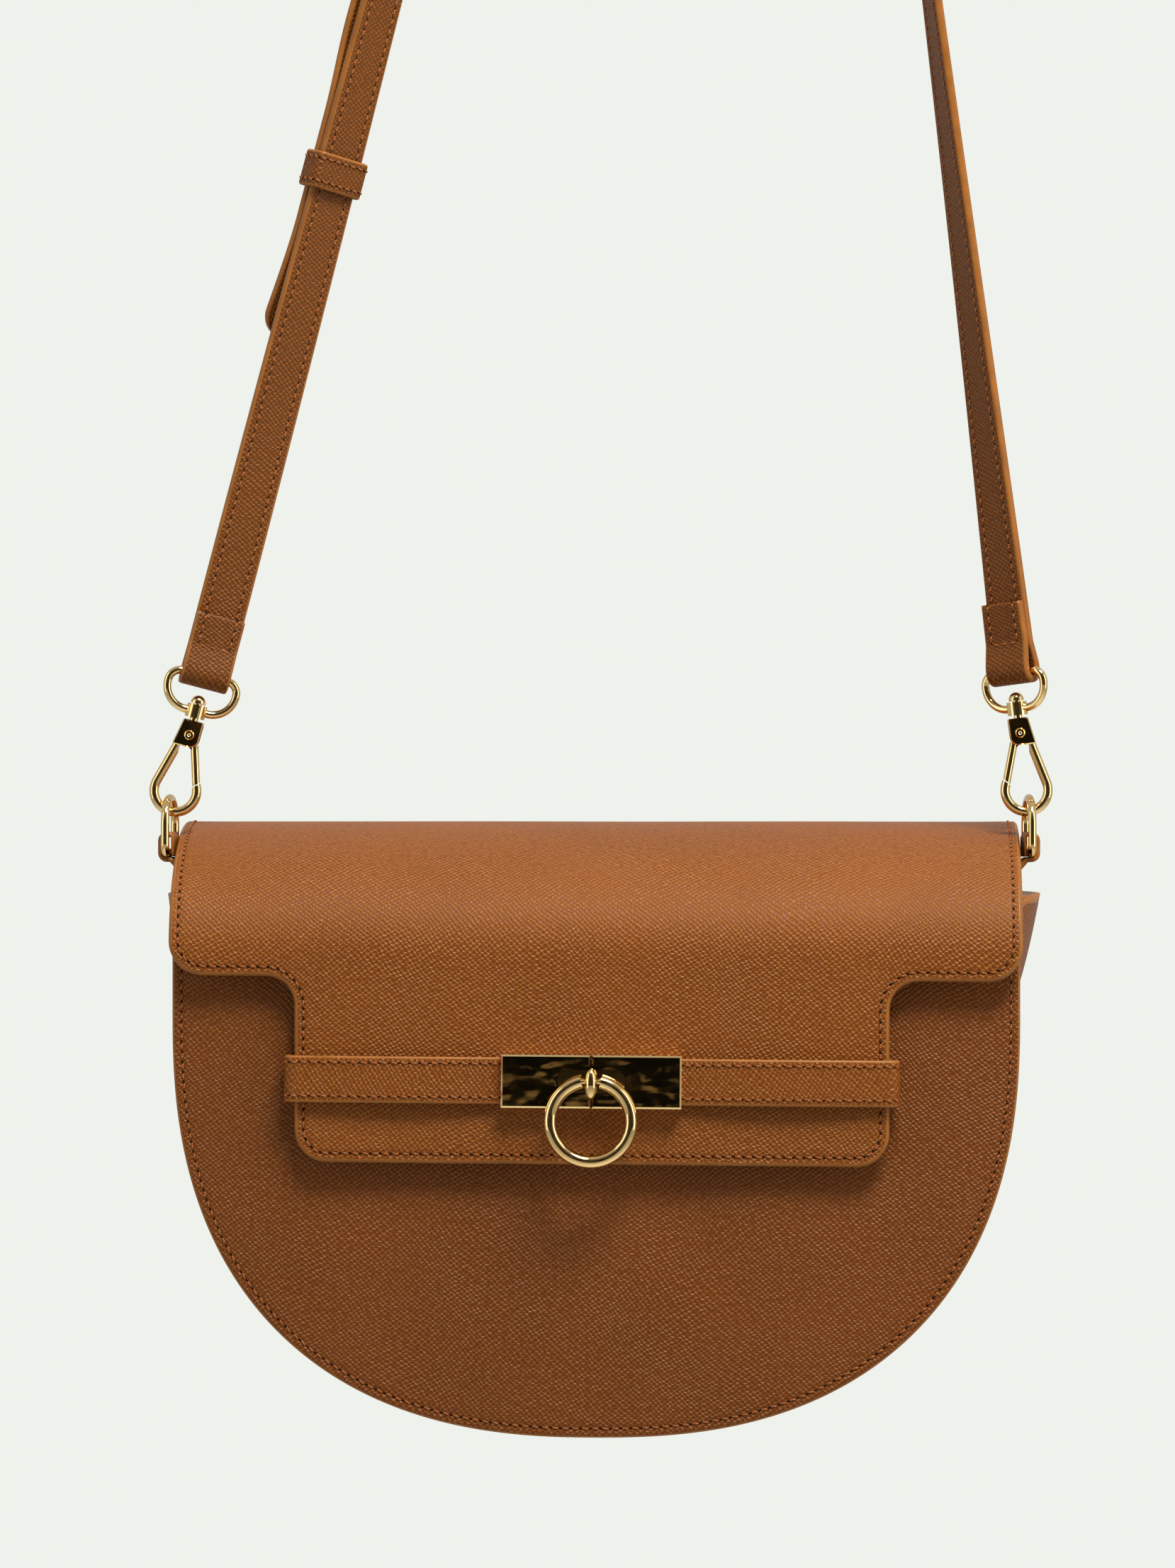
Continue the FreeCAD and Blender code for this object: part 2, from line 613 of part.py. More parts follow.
def arch():
    """Centre of the arch and how far up each strap line the arch starts."""
    left = eye_bar("left")
    right = eye_bar("right")
    u = up_strap("left")
    w = up_strap("right")
    cross = u.x * w.z - u.z * w.x
    gap = right.sub(left)
    run_left = (gap.x * w.z - gap.z * w.x) / cross
    run_right = (gap.x * u.z - gap.z * u.x) / cross
    meet = left.add(u * run_left)
    radius = PEG_R + STRAP_T / 2
    half = math.radians(LEAN["left"] - LEAN["right"]) / 2
    down = (u + w).normalize() * -1
    centre = meet.add(down * (radius / math.sin(half)))
    cut = radius / math.tan(half)
    return centre, {"left": run_left - cut, "right": run_right - cut}


def frame_at(side, up):
    """Point, width direction and inner-face normal of the strap line at a distance up it."""
    run = arch()[1][side]
    part = min(max(up / run, 0.0), 1.0)
    sign = 1 if side == "left" else -1
    low = abs(TWIST_LOW[side])
    twist = math.radians(TWIST_TOP - (TWIST_TOP - low) * (1 - part) ** TWIST_POWER[side]) * sign
    along = up_strap(side)
    normal = V(math.sin(twist), -math.cos(twist), 0)
    normal = normal.sub(along * normal.dot(along)).normalize()
    width = along.cross(normal).normalize()
    return eye_bar(side).add(along * up), width, normal


def section(point, width, normal, off, half_w=STRAP_W / 2, thick=STRAP_T):
    middle = point.add(normal * off)
    a = width * half_w
    b = normal * (thick / 2)
    corners = [middle - a - b, middle + a - b, middle + a + b, middle - a + b]
    return Part.makePolygon(corners + corners[:1])


def ribbon(stations):
    return Part.makeLoft(stations, True, True)


def strap_run(side, up0, up1, off0, off1):
    """Straight run of twisting strap; its offset from the line eases from off0 to off1."""
    count = max(2, int(math.ceil(abs(up1 - up0) / STATION)))
    stations = []
    for i in range(count + 1):
        t = i / count
        off = off0 + (off1 - off0) * (3 * t * t - 2 * t * t * t)
        point, width, normal = frame_at(side, up0 + (up1 - up0) * t)
        stations.append(section(point, width, normal, off))
    return stations


def turn_back(side, up, lap, sign):
    """Sewn end loop round a bar at a height up the line: sign 1 runs up from it, -1 down."""
    inner = EYE_WIRE / 2 + BAR_ROOM
    outer = inner + STRAP_T
    meet = 7.0
    at, width, normal = frame_at(side, up)
    along = up_strap(side) * sign

    def lift(a, b):
        return at.add(normal * a).add(along * b)
    half = STRAP_W / 2
    skin = [(-STRAP_T, lap), (-STRAP_T, meet), (-outer, 1.2), (-outer, -outer), (outer, -outer),
            (outer, 1.2), (STRAP_T, meet), (STRAP_T, lap)]
    radii = [0, 3.0, 3.0, outer - 0.02, outer - 0.02, 3.0, 3.0, 0.4]
    shell = rounded([(a, b, r) for (a, b), r in zip(skin, radii)], lift)
    hole = rounded([(-inner, -inner, inner - 0.01), (inner, -inner, inner - 0.01),
                    (inner, 1.0, 0.6), (0.15, meet - 1.6, 0.1), (-0.15, meet - 1.6, 0.1),
                    (-inner, 1.0, 0.6)], lift)
    solid = prism(shell, width * -half, width * STRAP_W)
    return solid.cut(prism(hole, width * (-half - 1), width * (STRAP_W + 2)))


def strap_short():
    """From the left eye up to the buckle's bar; the tail lies behind it."""
    low = turn_back("left", 0.0, LAP, 1)
    high = turn_back("left", BUCKLE_UP, LAP, -1)
    stations = strap_run("left", LAP - 0.5, BUCKLE_UP - LAP + 0.5, -STRAP_T / 2, -STRAP_T / 2)
    at, width, normal = frame_at("left", BUCKLE_UP)
    along = up_strap("left")
    slit = prism(polygon([(-6, -5.5), (6, -5.5), (6, 5.0), (-6, 5.0)],
                         lambda a, b: at.add(normal * a).add(along * b)),
                 width * -1.3, width * 2.6)
    return low.fuse(ribbon(stations)).fuse(high).cut(slit).removeSplitter()


def tail_offset(up):
    """How far behind the strap line the tail lies: bowed above the keeper, peeling off below it."""
    rest = -(STRAP_T * 1.5 + TAIL_GAP)
    over = KEEPER_UP + KEEPER_TRAVEL + KEEPER_H / 2 + 2
    under = KEEPER_UP - KEEPER_TRAVEL - KEEPER_H / 2 - 1
    if up > over:
        share = (up - over) / (BUCKLE_UP - LAP - 10 - over)
        return rest - TAIL_BOW * math.sin(math.pi * min(share, 1.0)) ** 2
    if up < under:
        return rest - TAIL_PEEL * ((under - up) / (under - TAIL_TIP_UP)) ** 1.6
    return rest


def strap_long():
    """From the right eye over the peg, through the buckle and down behind the short strap."""
    centre, run = arch()
    low = turn_back("right", 0.0, LAP, 1)
    stations = strap_run("right", LAP - 0.5, run["right"], -STRAP_T / 2, 0.0)
    radius = PEG_R + STRAP_T / 2
    turn0 = math.radians(-LEAN["right"])
    turn1 = math.pi - math.radians(LEAN["left"])
    steps = 10
    for i in range(1, steps):
        angle = turn0 + (turn1 - turn0) * i / steps
        spoke = V(math.cos(angle), 0, math.sin(angle))
        stations.append(section(centre.add(spoke * radius), Y_AXIS * -1, spoke * -1, 0.0))
    over = BUCKLE_ROOM + STRAP_T / 2 + 0.35
    under = -(BUCKLE_ROOM + STRAP_T * 1.5 + 0.7)
    rest = -(STRAP_T * 1.5 + TAIL_GAP)
    bar_far = BUCKLE_UP + BUCKLE_LEN
    stations += strap_run("left", run["left"], bar_far + 22, 0.0, 0.0)
    stations += strap_run("left", bar_far + 12, bar_far + 1.5, 0.6, over)
    stations += strap_run("left", bar_far - 2.0, BUCKLE_UP + 2.5, over, under)
    stations += strap_run("left", BUCKLE_UP - 3.0, BUCKLE_UP - LAP - 6, under, rest - 1.2)
    up = BUCKLE_UP - LAP - 14
    while up > TAIL_TIP_UP + 6.5:
        stations.append(section(*frame_at("left", up), tail_offset(up)))
        up -= STATION * 0.8
    for back, half in ((6.5, STRAP_W / 2), (3.4, 5.9), (1.2, 4.2), (0.0, 1.8)):
        up = TAIL_TIP_UP + back
        stations.append(section(*frame_at("left", up), tail_offset(up), half))
    solid = low.fuse(ribbon(stations))
    middle = BUCKLE_UP + BUCKLE_LEN / 2
    for up in (middle - 3 * HOLE_PITCH, middle + HOLE_PITCH, middle + 2 * HOLE_PITCH):
        solid = solid.cut(prong_hole(up, 1.5, 0.0))
    return solid.cut(prong_hole(middle, 1.3, PRONG_SLOT)).removeSplitter()


def prong_hole(up, radius, length):
    """Round hole through the strap, or a slot where the prong passes."""
    at, width, normal = frame_at("left", up)
    along = up_strap("left")
    hole = Part.makeCylinder(radius, 20, at.sub(normal * 10), normal)
    if length:
        low = at.sub(normal * 10).sub(along * (length / 2)).sub(width * radius)
        corners = [low, low + width * (2 * radius), low + width * (2 * radius) + along * length,
                   low + along * length]
        hole = Part.Face(Part.makePolygon(corners + corners[:1])).extrude(normal * 20)
    return hole


def in_buckle(side_up, shape):
    """From the buckle's frame (x width, y = outward, z along) to its place on the strap."""
    at, width, normal = frame_at("left", side_up)
    along = up_strap("left")
    matrix = FreeCAD.Matrix(width.x, -normal.x, along.x, at.x,
                            width.y, -normal.y, along.y, at.y,
                            width.z, -normal.z, along.z, at.z, 0, 0, 0, 1)
    shape.Placement = FreeCAD.Placement(matrix).multiply(shape.Placement)
    return shape


def buckle_frame():
    half = BUCKLE_W / 2 - BUCKLE_ROOM
    corners = [(-half, 0, 2.4), (half, 0, 2.4), (half, BUCKLE_LEN, 2.4), (-half, BUCKLE_LEN, 2.4)]
    loop = closed_pipe(rounded(corners, on_xz), ORIGIN, X_AXIS, EYE_WIRE / 2)
    return in_buckle(BUCKLE_UP, loop)


def buckle_prong():
    """Prong hinged on the lower bar, its tip outside the upper bar."""
    eyelet = rod(V(-1.0, 0, 0), X_AXIS, 2.0, 2.0).cut(rod(V(-2, 0, 0), X_AXIS, 1.13, 4))
    tip = V(0, 2.05, BUCKLE_LEN + 0.6)
    start = V(0, 0.9, 1.55)
    run = tip.sub(start)
    arm = Part.makeCylinder(0.75, run.Length, start, run)
    arm = arm.fuse(Part.makeSphere(0.75, tip))
    return in_buckle(BUCKLE_UP, eyelet.fuse(arm).removeSplitter())


def keeper():
    """Loose leather loop round both layers of the strap."""
    stack = 2 * STRAP_T + TAIL_GAP
    wall = 1.0
    clear = 0.85
    half_w = STRAP_W / 2 + 0.5
    half_t = stack / 2 + clear
    outer = Part.makeBox(2 * (half_w + wall), 2 * (half_t + wall), KEEPER_H,
                         V(-half_w - wall, -half_t - wall, -KEEPER_H / 2))
    inner = Part.makeBox(2 * half_w, 2 * half_t, KEEPER_H + 2, V(-half_w, -half_t, -KEEPER_H / 2 - 1))
    loop = outer.makeFillet(1.4, [e for e in outer.Edges if abs(e.Length - KEEPER_H) < 1e-6])
    loop = loop.cut(inner)
    loop.translate(V(0, STRAP_T + TAIL_GAP / 2, 0))
    return in_buckle(KEEPER_UP, loop)


def write(name, shape):
    centre = arch()[0]
    moved = shape.copy()
    moved.translate(V(-centre.x, 0, -centre.z - PEG_R))
    moved.exportStep("parts/" + name + ".step")


def main():
    os.makedirs("parts", exist_ok=True)
    made = dict(panel_layers())
    made["gusset"] = gusset()
    made["gusset_lining"] = gusset_lining()
    made["flap_root"] = flap_root()
    made["flap"] = flap_layer(0.0, FLAP_SKIN, True)
    made["flap_lining"] = flap_layer(FLAP_SKIN, FLAP_T, True)
    made["flap_top"] = flap_layer(0.0, FLAP_SKIN, False)
    made["flap_top_lining"] = flap_layer(FLAP_SKIN, FLAP_T, False)
    made["lock_base"] = lock_base()
    made["lock_knob"] = tilt_belt(lock_knob())
    made["pull_ring"] = tilt_belt(pull_ring())
    made["lock_rivets"] = lock_rivets()
    made.update(snap_parts())
    for side in ("left", "right"):
        made["belt_" + side] = belt_half(side)
        made["plate_" + side] = plate_half(side)
        made["side_tab_" + side] = side_tab(side)
        made["d_ring_" + side] = d_ring(side)
        made["eye_" + side] = eye(side)
        made["hook_" + side] = hook(side)
        made["gate_" + side] = gate(side)
        made["gate_rivet_" + side] = gate_rivet(side)
        made["gate_spring_" + side] = gate_spring(side)
    made["strap_short"] = strap_short()
    made["strap_long"] = strap_long()
    made["buckle_frame"] = buckle_frame()
    made["buckle_prong"] = buckle_prong()
    made["keeper"] = keeper()
    for name, shape in made.items():
        print(name, "valid" if shape.isValid() else "NOT VALID", len(shape.Solids),
              round(shape.Volume, 1))
        write(name, shape)
    centre, run = arch()
    print("origin in the layout frame", centre.x, centre.z + PEG_R, "runs", run)


main()
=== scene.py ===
"""Looks of the half-moon shoulder bag: leather shells, stitching and finishes round the CAD frame."""
import json
import math
import random

import bmesh
import bpy
import numpy as np
from mathutils import Matrix, Vector
from mathutils.geometry import delaunay_2d_cdt


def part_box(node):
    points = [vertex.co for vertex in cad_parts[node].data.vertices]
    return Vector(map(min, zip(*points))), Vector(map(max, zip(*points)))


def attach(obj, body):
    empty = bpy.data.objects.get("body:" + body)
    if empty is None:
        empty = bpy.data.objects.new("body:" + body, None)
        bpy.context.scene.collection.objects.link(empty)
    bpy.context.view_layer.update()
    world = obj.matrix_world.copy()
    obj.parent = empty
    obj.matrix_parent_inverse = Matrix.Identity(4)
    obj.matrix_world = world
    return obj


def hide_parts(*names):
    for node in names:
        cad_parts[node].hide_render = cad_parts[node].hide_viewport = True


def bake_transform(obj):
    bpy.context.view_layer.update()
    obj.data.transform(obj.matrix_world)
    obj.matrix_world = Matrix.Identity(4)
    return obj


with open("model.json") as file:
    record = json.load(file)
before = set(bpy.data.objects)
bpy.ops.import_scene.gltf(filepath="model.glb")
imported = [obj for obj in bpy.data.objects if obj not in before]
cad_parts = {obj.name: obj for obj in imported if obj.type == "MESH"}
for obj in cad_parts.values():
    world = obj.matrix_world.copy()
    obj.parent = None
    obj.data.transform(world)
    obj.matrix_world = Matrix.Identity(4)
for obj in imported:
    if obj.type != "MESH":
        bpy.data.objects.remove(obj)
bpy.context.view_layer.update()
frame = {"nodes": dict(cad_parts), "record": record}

# ---- sizes in millimetres, in the bag's own layout: x across from the middle, y back, z up from
# ---- the flap's crest; y = 0 is the plane of the strap ----
MM = 0.001
PANEL_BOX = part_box("front_panel")
BACK_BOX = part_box("back_panel")
MIDDLE = (PANEL_BOX[0].x + PANEL_BOX[1].x) / 2
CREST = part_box("flap_top")[1].z
HALF_WIDTH = (PANEL_BOX[1].x - PANEL_BOX[0].x) / 2 / MM
FRONT = PANEL_BOX[0].y / MM
BACK = BACK_BOX[1].y / MM
BAG_LOW = (PANEL_BOX[0].z - CREST) / MM
FRONT_TOP = (PANEL_BOX[1].z - CREST) / MM
BACK_TOP = (BACK_BOX[1].z - CREST) / MM
PANEL = (PANEL_BOX[1].y - PANEL_BOX[0].y) / MM
CURVE_TOP = -50.0
CURVE_POWER = 2.42
SPINE_STEPS = 400
FLANGE = 5.0
GUSSET_TOP_FRONT = -22.0
GUSSET_TOP_BACK = -18.4
MOUTH_STEP = 3.0
FLARE = {"left": 7.0, "right": 9.9}

FLAP_HALF = 110.4
FLAP_T = 2.6
FLAP_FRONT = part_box("flap")[0].y / MM
ARCH_DROP = 34.0
CREASE_OUT = 1.6
CREASE_Z = -4.8
CREST_BACK = 8.0
SHOULDER_Z = -40.4
TONGUE_HALF = 76.9
TONGUE_LOW = -88.4
TONGUE_X = -0.9
SKEW = 0.008
ROOT_LOW = -34.0

BELT_Z = -66.8
BELT_H = 12.1
BELT_T = 1.8
PLATE_X = -0.9
PLATE_LEN = 46.6

RING_X = {"left": -112.5, "right": 112.8}
RING_TURN = {"left": -6.0, "right": 5.5}
TAB_HALF = 4.4
HOOK_Z = 2.75
HOOK_LEAN = {"left": 14.6, "right": -6.5}
EYE_BAR_UP = 36.75
EYE_WIRE = 2.1
BAR_ROOM = 0.3             # a sewn end goes round its bar with this much room
STRAP_W = 13.0
STRAP_T = 2.1
PEG_R = 11.0
LEAN = {"left": 14.9, "right": -7.1}
TWIST_LOW = {"left": 10.0, "right": -36.0}
TWIST_POWER = {"left": 1.35, "right": 2.95}
TWIST_TOP = 90.0
LAP = {"left": 16.0, "right": 18.2, "top": 20.0}     # turned-back length past the bar
SEAM_UP = 7.5              # cross row of a sewn end, above the bar
BUCKLE_UP = 232.0
BUCKLE_LEN = 15.0
BUCKLE_ROOM = 1.1          # half the thickness that the strap leaves for the frame
TAIL_TIP_UP = 91.0
TAIL_GAP = 0.5
TAIL_BOW = 1.3
TAIL_PEEL = 5.5
KEEPER_UP = 135.9
KEEPER_H = 9.6
KEEPER_TRAVEL = 8.0
HOLE_PITCH = 22.0
PRONG_SLOT = 9.0

STITCH_PITCH = 2.6
EDGE_BAND = 0.95           # painted border seen on a leather face
PANEL_BAND = 0.5
STITCH_IN = 2.4            # stitch row to the cut edge
EDGE_ROWS = (STRAP_W / 2 - 2.3, -STRAP_W / 2 + 2.3)


def spot(x, y, z):
    """A layout point, in millimetres, as a point of the frame in metres."""
    return Vector((MIDDLE + x * MM, y * MM, CREST + z * MM))


# ---- materials ----

class Graph:
    """Short forms for building a node tree."""

    def __init__(self, tree):
        self.tree = tree
        self.tree.nodes.clear()

    def node(self, kind, **values):
        made = self.tree.nodes.new(kind)
        for key, value in values.items():
            setattr(made, key, value)
        return made

    def link(self, source, target):
        self.tree.links.new(source, target)

    def feed(self, socket, value):
        if isinstance(value, bpy.types.NodeSocket):
            self.link(value, socket)
        else:
            socket.default_value = value

    def math(self, operation, a, b=0.0, c=0.0):
        made = self.node("ShaderNodeMath", operation=operation)
        for socket, value in zip(made.inputs, (a, b, c)):
            self.feed(socket, value)
        return made.outputs[0]

    def vector(self, operation, a, b=(0, 0, 0), scale=None):
        made = self.node("ShaderNodeVectorMath", operation=operation)
        self.feed(made.inputs[0], a)
        self.feed(made.inputs[1], b)
        if scale is not None:
            made.inputs["Scale"].default_value = scale
        return made.outputs["Value"] if operation == "DOT_PRODUCT" else made.outputs[0]

    def noise(self, where, scale, detail=2.0, rough=0.5):
        made = self.node("ShaderNodeTexNoise")
        self.link(where, made.inputs["Vector"])
        made.inputs["Scale"].default_value = scale
        made.inputs["Detail"].default_value = detail
        made.inputs["Roughness"].default_value = rough
        return made.outputs["Fac"], made.outputs["Color"]

    def ramp(self, value, low, high, out_low=0.0, out_high=1.0):
        made = self.node("ShaderNodeMapRange", interpolation_type="SMOOTHSTEP")
        for socket, number in zip(made.inputs, (value, low, high, out_low, out_high)):
            self.feed(socket, number)
        return made.outputs[0]

    def mix(self, amount, a, b):
        made = self.node("ShaderNodeMix", data_type="RGBA")
        self.feed(made.inputs["Factor"], amount)
        colours = [s for s in made.inputs if s.type == "RGBA"]
        self.feed(colours[0], a)
        self.feed(colours[1], b)
        return [s for s in made.outputs if s.type == "RGBA"][0]

    def bump(self, height, depth_mm, strength=1.0):
        made = self.node("ShaderNodeBump")
        made.inputs["Strength"].default_value = strength
        made.inputs["Distance"].default_value = depth_mm * MM
        self.link(height, made.inputs["Height"])
        return made.outputs[0]


def rgb(code):
    """Linear colour from a hex code."""
    out = []
    for i in (0, 2, 4):
        c = int(code[i:i + 2], 16) / 255
        out.append(c / 12.92 if c <= 0.04045 else ((c + 0.055) / 1.055) ** 2.4)
    return (*out, 1.0)


def material(name):
    made = bpy.data.materials.new(name)
    made.use_nodes = True
    graph = Graph(made.node_tree)
    shader = graph.node("ShaderNodeBsdfPrincipled")
    output = graph.node("ShaderNodeOutputMaterial")
    graph.link(shader.outputs[0], output.inputs["Surface"])
    return made, graph, shader


def uv_mm(graph):
    """The piece's own flat coordinates, in millimetres."""
    return graph.node("ShaderNodeTexCoord").outputs["UV"]


def object_mm(graph):
    """Object coordinates in millimetres, for the CAD nodes."""
    coords = graph.node("ShaderNodeTexCoord").outputs["Object"]
    return graph.vector("SCALE", coords, scale=1000.0)


GRAIN_A = (0.55, -0.835, 0.0)      # directions across the two families of ridges
GRAIN_B = (0.72, 0.694, 0.0)
GRAIN_PITCH = 1.02


GLOSS_TINT = (1.0, 0.86, 0.68, 1.0)


def tones(colour, *factors):
    """The colour at several strengths."""
    return [tuple(c * f for c in colour[:3]) + (1,) for f in factors]


def ridges(graph, where, across, pitch):
    """One family of raised lines: sharp (1 on a line, 0 between) and soft."""
    along = graph.vector("DOT_PRODUCT", where, across)
    turn = graph.math("FRACT", graph.math("DIVIDE", along, pitch))
    away = graph.math("ABSOLUTE", graph.math("SUBTRACT", turn, 0.5))
    return graph.ramp(away, 0.27, 0.5), graph.ramp(away, 0.0, 0.5)


def leather(name, cell, ridge, gloss=0.26, depth=0.14):
    """Cross-hatched embossed leather: dark cells between wavering lighter ridges; the ridges' lighter colour
    is partly wear and partly painted highlight on the raised lines.
    """
    made, g, shader = material(name)
    where = uv_mm(g)
    sway = g.noise(where, 0.03, 1.0)[1]
    waver = g.noise(where, 0.5, 1.2)[1]
    sway = g.vector("SCALE", g.vector("SUBTRACT", sway, (0.5, 0.5, 0.5)), scale=7.0)
    waver = g.vector("SCALE", g.vector("SUBTRACT", waver, (0.5, 0.5, 0.5)), scale=0.95)
    bent = g.vector("ADD", g.vector("ADD", where, sway), waver)
    first, first_soft = ridges(g, bent, GRAIN_A, GRAIN_PITCH)
    second, second_soft = ridges(g, bent, GRAIN_B, GRAIN_PITCH * 1.04)
    fade = g.ramp(g.noise(where, 0.7, 2.0)[0], 0.3, 0.6, 0.5, 1.0)
    net = g.math("MULTIPLY", g.math("MAXIMUM", first, g.math("MULTIPLY", second, 0.85)), fade)
    dome = g.math("MULTIPLY", g.math("MULTIPLY", first_soft, second_soft), fade)
    fine = g.noise(where, 4.5, 3.0, 0.6)[0]
    height = g.math("ADD", g.math("MULTIPLY_ADD", net, 0.5, dome), g.math("MULTIPLY", fine, 0.12))
    tone = g.noise(where, 0.02, 3.0)[0]
    tint = g.ramp(g.math("MULTIPLY_ADD", fine, 0.3, tone), 0.35, 0.95)
    # Ridges get the lighter colour: partly wear, partly painted highlight on the raised lines.
    colour = g.mix(g.ramp(net, 0.1, 0.95), g.mix(tint, *tones(cell, 0.88, 1.14)), ridge)
    g.link(colour, shader.inputs["Base Color"])
    rough = g.math("MULTIPLY_ADD", g.math("SUBTRACT", 1.0, dome), 0.24, gloss)
    g.link(rough, shader.inputs["Roughness"])
    shader.inputs["Specular IOR Level"].default_value = 0.32
    shader.inputs["Specular Tint"].default_value = GLOSS_TINT
    g.link(g.bump(height, depth), shader.inputs["Normal"])
    return made


def edge_paint(name, colour, gloss=0.4):
    """Smooth sealed cut edge with slight unevenness; also used near-black for the painted shade at the stitch
    holes.
    """
    made, g, shader = material(name)
    where = object_mm(g)
    patch = g.noise(where, 0.16, 3.0)[0]
    dark = tuple(c * 0.78 for c in colour[:3]) + (1,)
    g.link(g.mix(g.ramp(patch, 0.3, 0.75), dark, colour), shader.inputs["Base Color"])
    g.link(g.ramp(patch, 0.2, 0.8, 0.34, 0.5), shader.inputs["Roughness"])
    g.link(g.bump(g.noise(where, 1.3, 3.0)[0], 0.05), shader.inputs["Normal"])
    shader.inputs["Specular IOR Level"].default_value = gloss
    shader.inputs["Specular Tint"].default_value = GLOSS_TINT
    return made


def thread_finish(name, colour):
    """Waxed twisted thread: light and dark bands wound round each stitch; the dark bands are painted shade in
    the grooves of the twist.
    """
    made, g, shader = material(name)
    where = uv_mm(g)
    lay = g.vector("DOT_PRODUCT", where, (2.6, 1.6, 0.0))
    wound = g.math("SINE", g.math("MULTIPLY", lay, math.pi))
    # The dark bands sit in the low parts of the same wave that bumps the thread: painted shade in the twist's
    # grooves.
    dark = tuple(c * 0.55 for c in colour[:3]) + (1,)
    g.link(g.mix(g.ramp(wound, -1.0, 0.6), dark, colour), shader.inputs["Base Color"])
    g.link(g.bump(wound, 0.06), shader.inputs["Normal"])
    shader.inputs["Roughness"].default_value = 0.55
    shader.inputs["Specular IOR Level"].default_value = 0.3
    return made


def polished_gold(name, colour, rough=0.05, wave=0.0):
    """Plated, polished metal with faint smudges; wave is the unevenness of a flat pressed face."""
    made, g, shader = material(name)
    where = object_mm(g)
    smudge = g.noise(where, 0.12, 4.0, 0.6)[0]
    warm = tuple(c * f for c, f in zip(colour[:3], (0.95, 0.9, 0.84))) + (1,)
    g.link(g.mix(g.ramp(smudge, 0.4, 0.75), colour, warm), shader.inputs["Base Color"])
    shader.inputs["Metallic"].default_value = 1.0
    g.link(g.ramp(smudge, 0.35, 0.8, rough, rough + 0.05), shader.inputs["Roughness"])
    if wave:
        swell = g.noise(g.vector("MULTIPLY", where, (0.3, 0.3, 0.55)), 0.5, 1.0)[0]
        g.link(g.bump(swell, wave), shader.inputs["Normal"])
    return made


def brushed_steel(name):
    made, g, shader = material(name)
    where = object_mm(g)
    streak = g.noise(g.vector("MULTIPLY", where, (0.6, 6.0, 6.0)), 1.0, 3.0)[0]
    g.link(g.mix(streak, (0.42, 0.42, 0.43, 1), (0.66, 0.66, 0.65, 1)), shader.inputs["Base Color"])
    shader.inputs["Metallic"].default_value = 1.0
    g.link(g.ramp(streak, 0.2, 0.8, 0.22, 0.4), shader.inputs["Roughness"])
    g.link(g.bump(streak, 0.01), shader.inputs["Normal"])
    return made


def woven(name, colour, where_of=object_mm, pitch=0.55):
    """Plain woven lining cloth, darker between the yarns as painted shade, with random slubs in its tone."""
    made, g, shader = material(name)
    where = where_of(g)
    parts = g.node("ShaderNodeSeparateXYZ")
    g.link(where, parts.inputs[0])
    turns = math.pi / pitch
    flat = g.math("ADD", parts.outputs[1], parts.outputs[2])
    warp = g.math("ABSOLUTE", g.math("SINE", g.math("MULTIPLY", parts.outputs[0], turns)))
    weft = g.math("ABSOLUTE", g.math("SINE", g.math("MULTIPLY", flat, turns)))
    weave = g.math("MULTIPLY", g.math("ADD", warp, weft), 0.5)
    slub = g.noise(g.vector("MULTIPLY", where, (0.25, 1.8, 1.8)), 1.0, 3.0)[0]
    # Darker where the weave is low, between the yarns: painted shade; the slub noise is the cloth's own uneven
    # tone.
    dark = tuple(c * 0.55 for c in colour[:3]) + (1,)
    amount = g.math("MULTIPLY", g.math("ADD", weave, slub), 0.6)
    g.link(g.mix(amount, dark, colour), shader.inputs["Base Color"])
    shader.inputs["Roughness"].default_value = 0.85
    shader.inputs["Sheen Weight"].default_value = 0.3
    g.link(g.bump(g.math("ADD", weave, g.math("MULTIPLY", slub, 0.5)), 0.12), shader.inputs["Normal"])
    return made


def plain_board(name):
    """Grey-brown fibre board."""
    made, g, shader = material(name)
    where = object_mm(g)
    fibre = g.noise(g.vector("MULTIPLY", where, (1.0, 1.0, 3.0)), 0.9, 5.0, 0.7)[0]
    g.link(g.mix(fibre, (0.16, 0.13, 0.1, 1), (0.34, 0.28, 0.22, 1)), shader.inputs["Base Color"])
    shader.inputs["Roughness"].default_value = 0.9
    g.link(g.bump(fibre, 0.08), shader.inputs["Normal"])
    return made


HIDE = leather("embossed_leather", rgb("6D3507"), rgb("9D5D1A"))
# Darker copy of the embossed leather for both panels: painted shade, standing in for the dimmer light on the
# panels below the flap.
SHADED_PANEL_HIDE = leather("panel_leather_painted_shade", rgb("632E06"), rgb("895016"))
# Darker copy of the leather for the straps and keeper: the darker colour is painted shade for the dimmer light
# on the twisted strap; its gloss and grain depth are the strap's own finish.
SHADED_STRAP_HIDE = leather("strap_leather_painted_shade", rgb("5E2E05"), rgb("844E12"), gloss=0.32, depth=0.11)
PAINT = edge_paint("edge_paint", rgb("985B20"))
THREAD = thread_finish("copper_thread", rgb("A65E28"))
# Near-black marks at the stitch holes: painted shade for the holes' dark insides.
PAINTED_HOLE_SHADE = edge_paint("stitch_hole_painted_shade", rgb("2A1404"), 0.08)
GOLD = polished_gold("polished_gold", rgb("EFCF92"))
PLATE_GOLD = polished_gold("plate_gold", rgb("EFCF92"), 0.02, 0.05)
STEEL = brushed_steel("brushed_steel")
LINING = woven("lining_cloth", rgb("9C7650"))
BOARD_FINISH = plain_board("fibre_board")
UNDER = woven("flap_lining_cloth", rgb("9C7650"), uv_mm)


# ---- mesh making ----

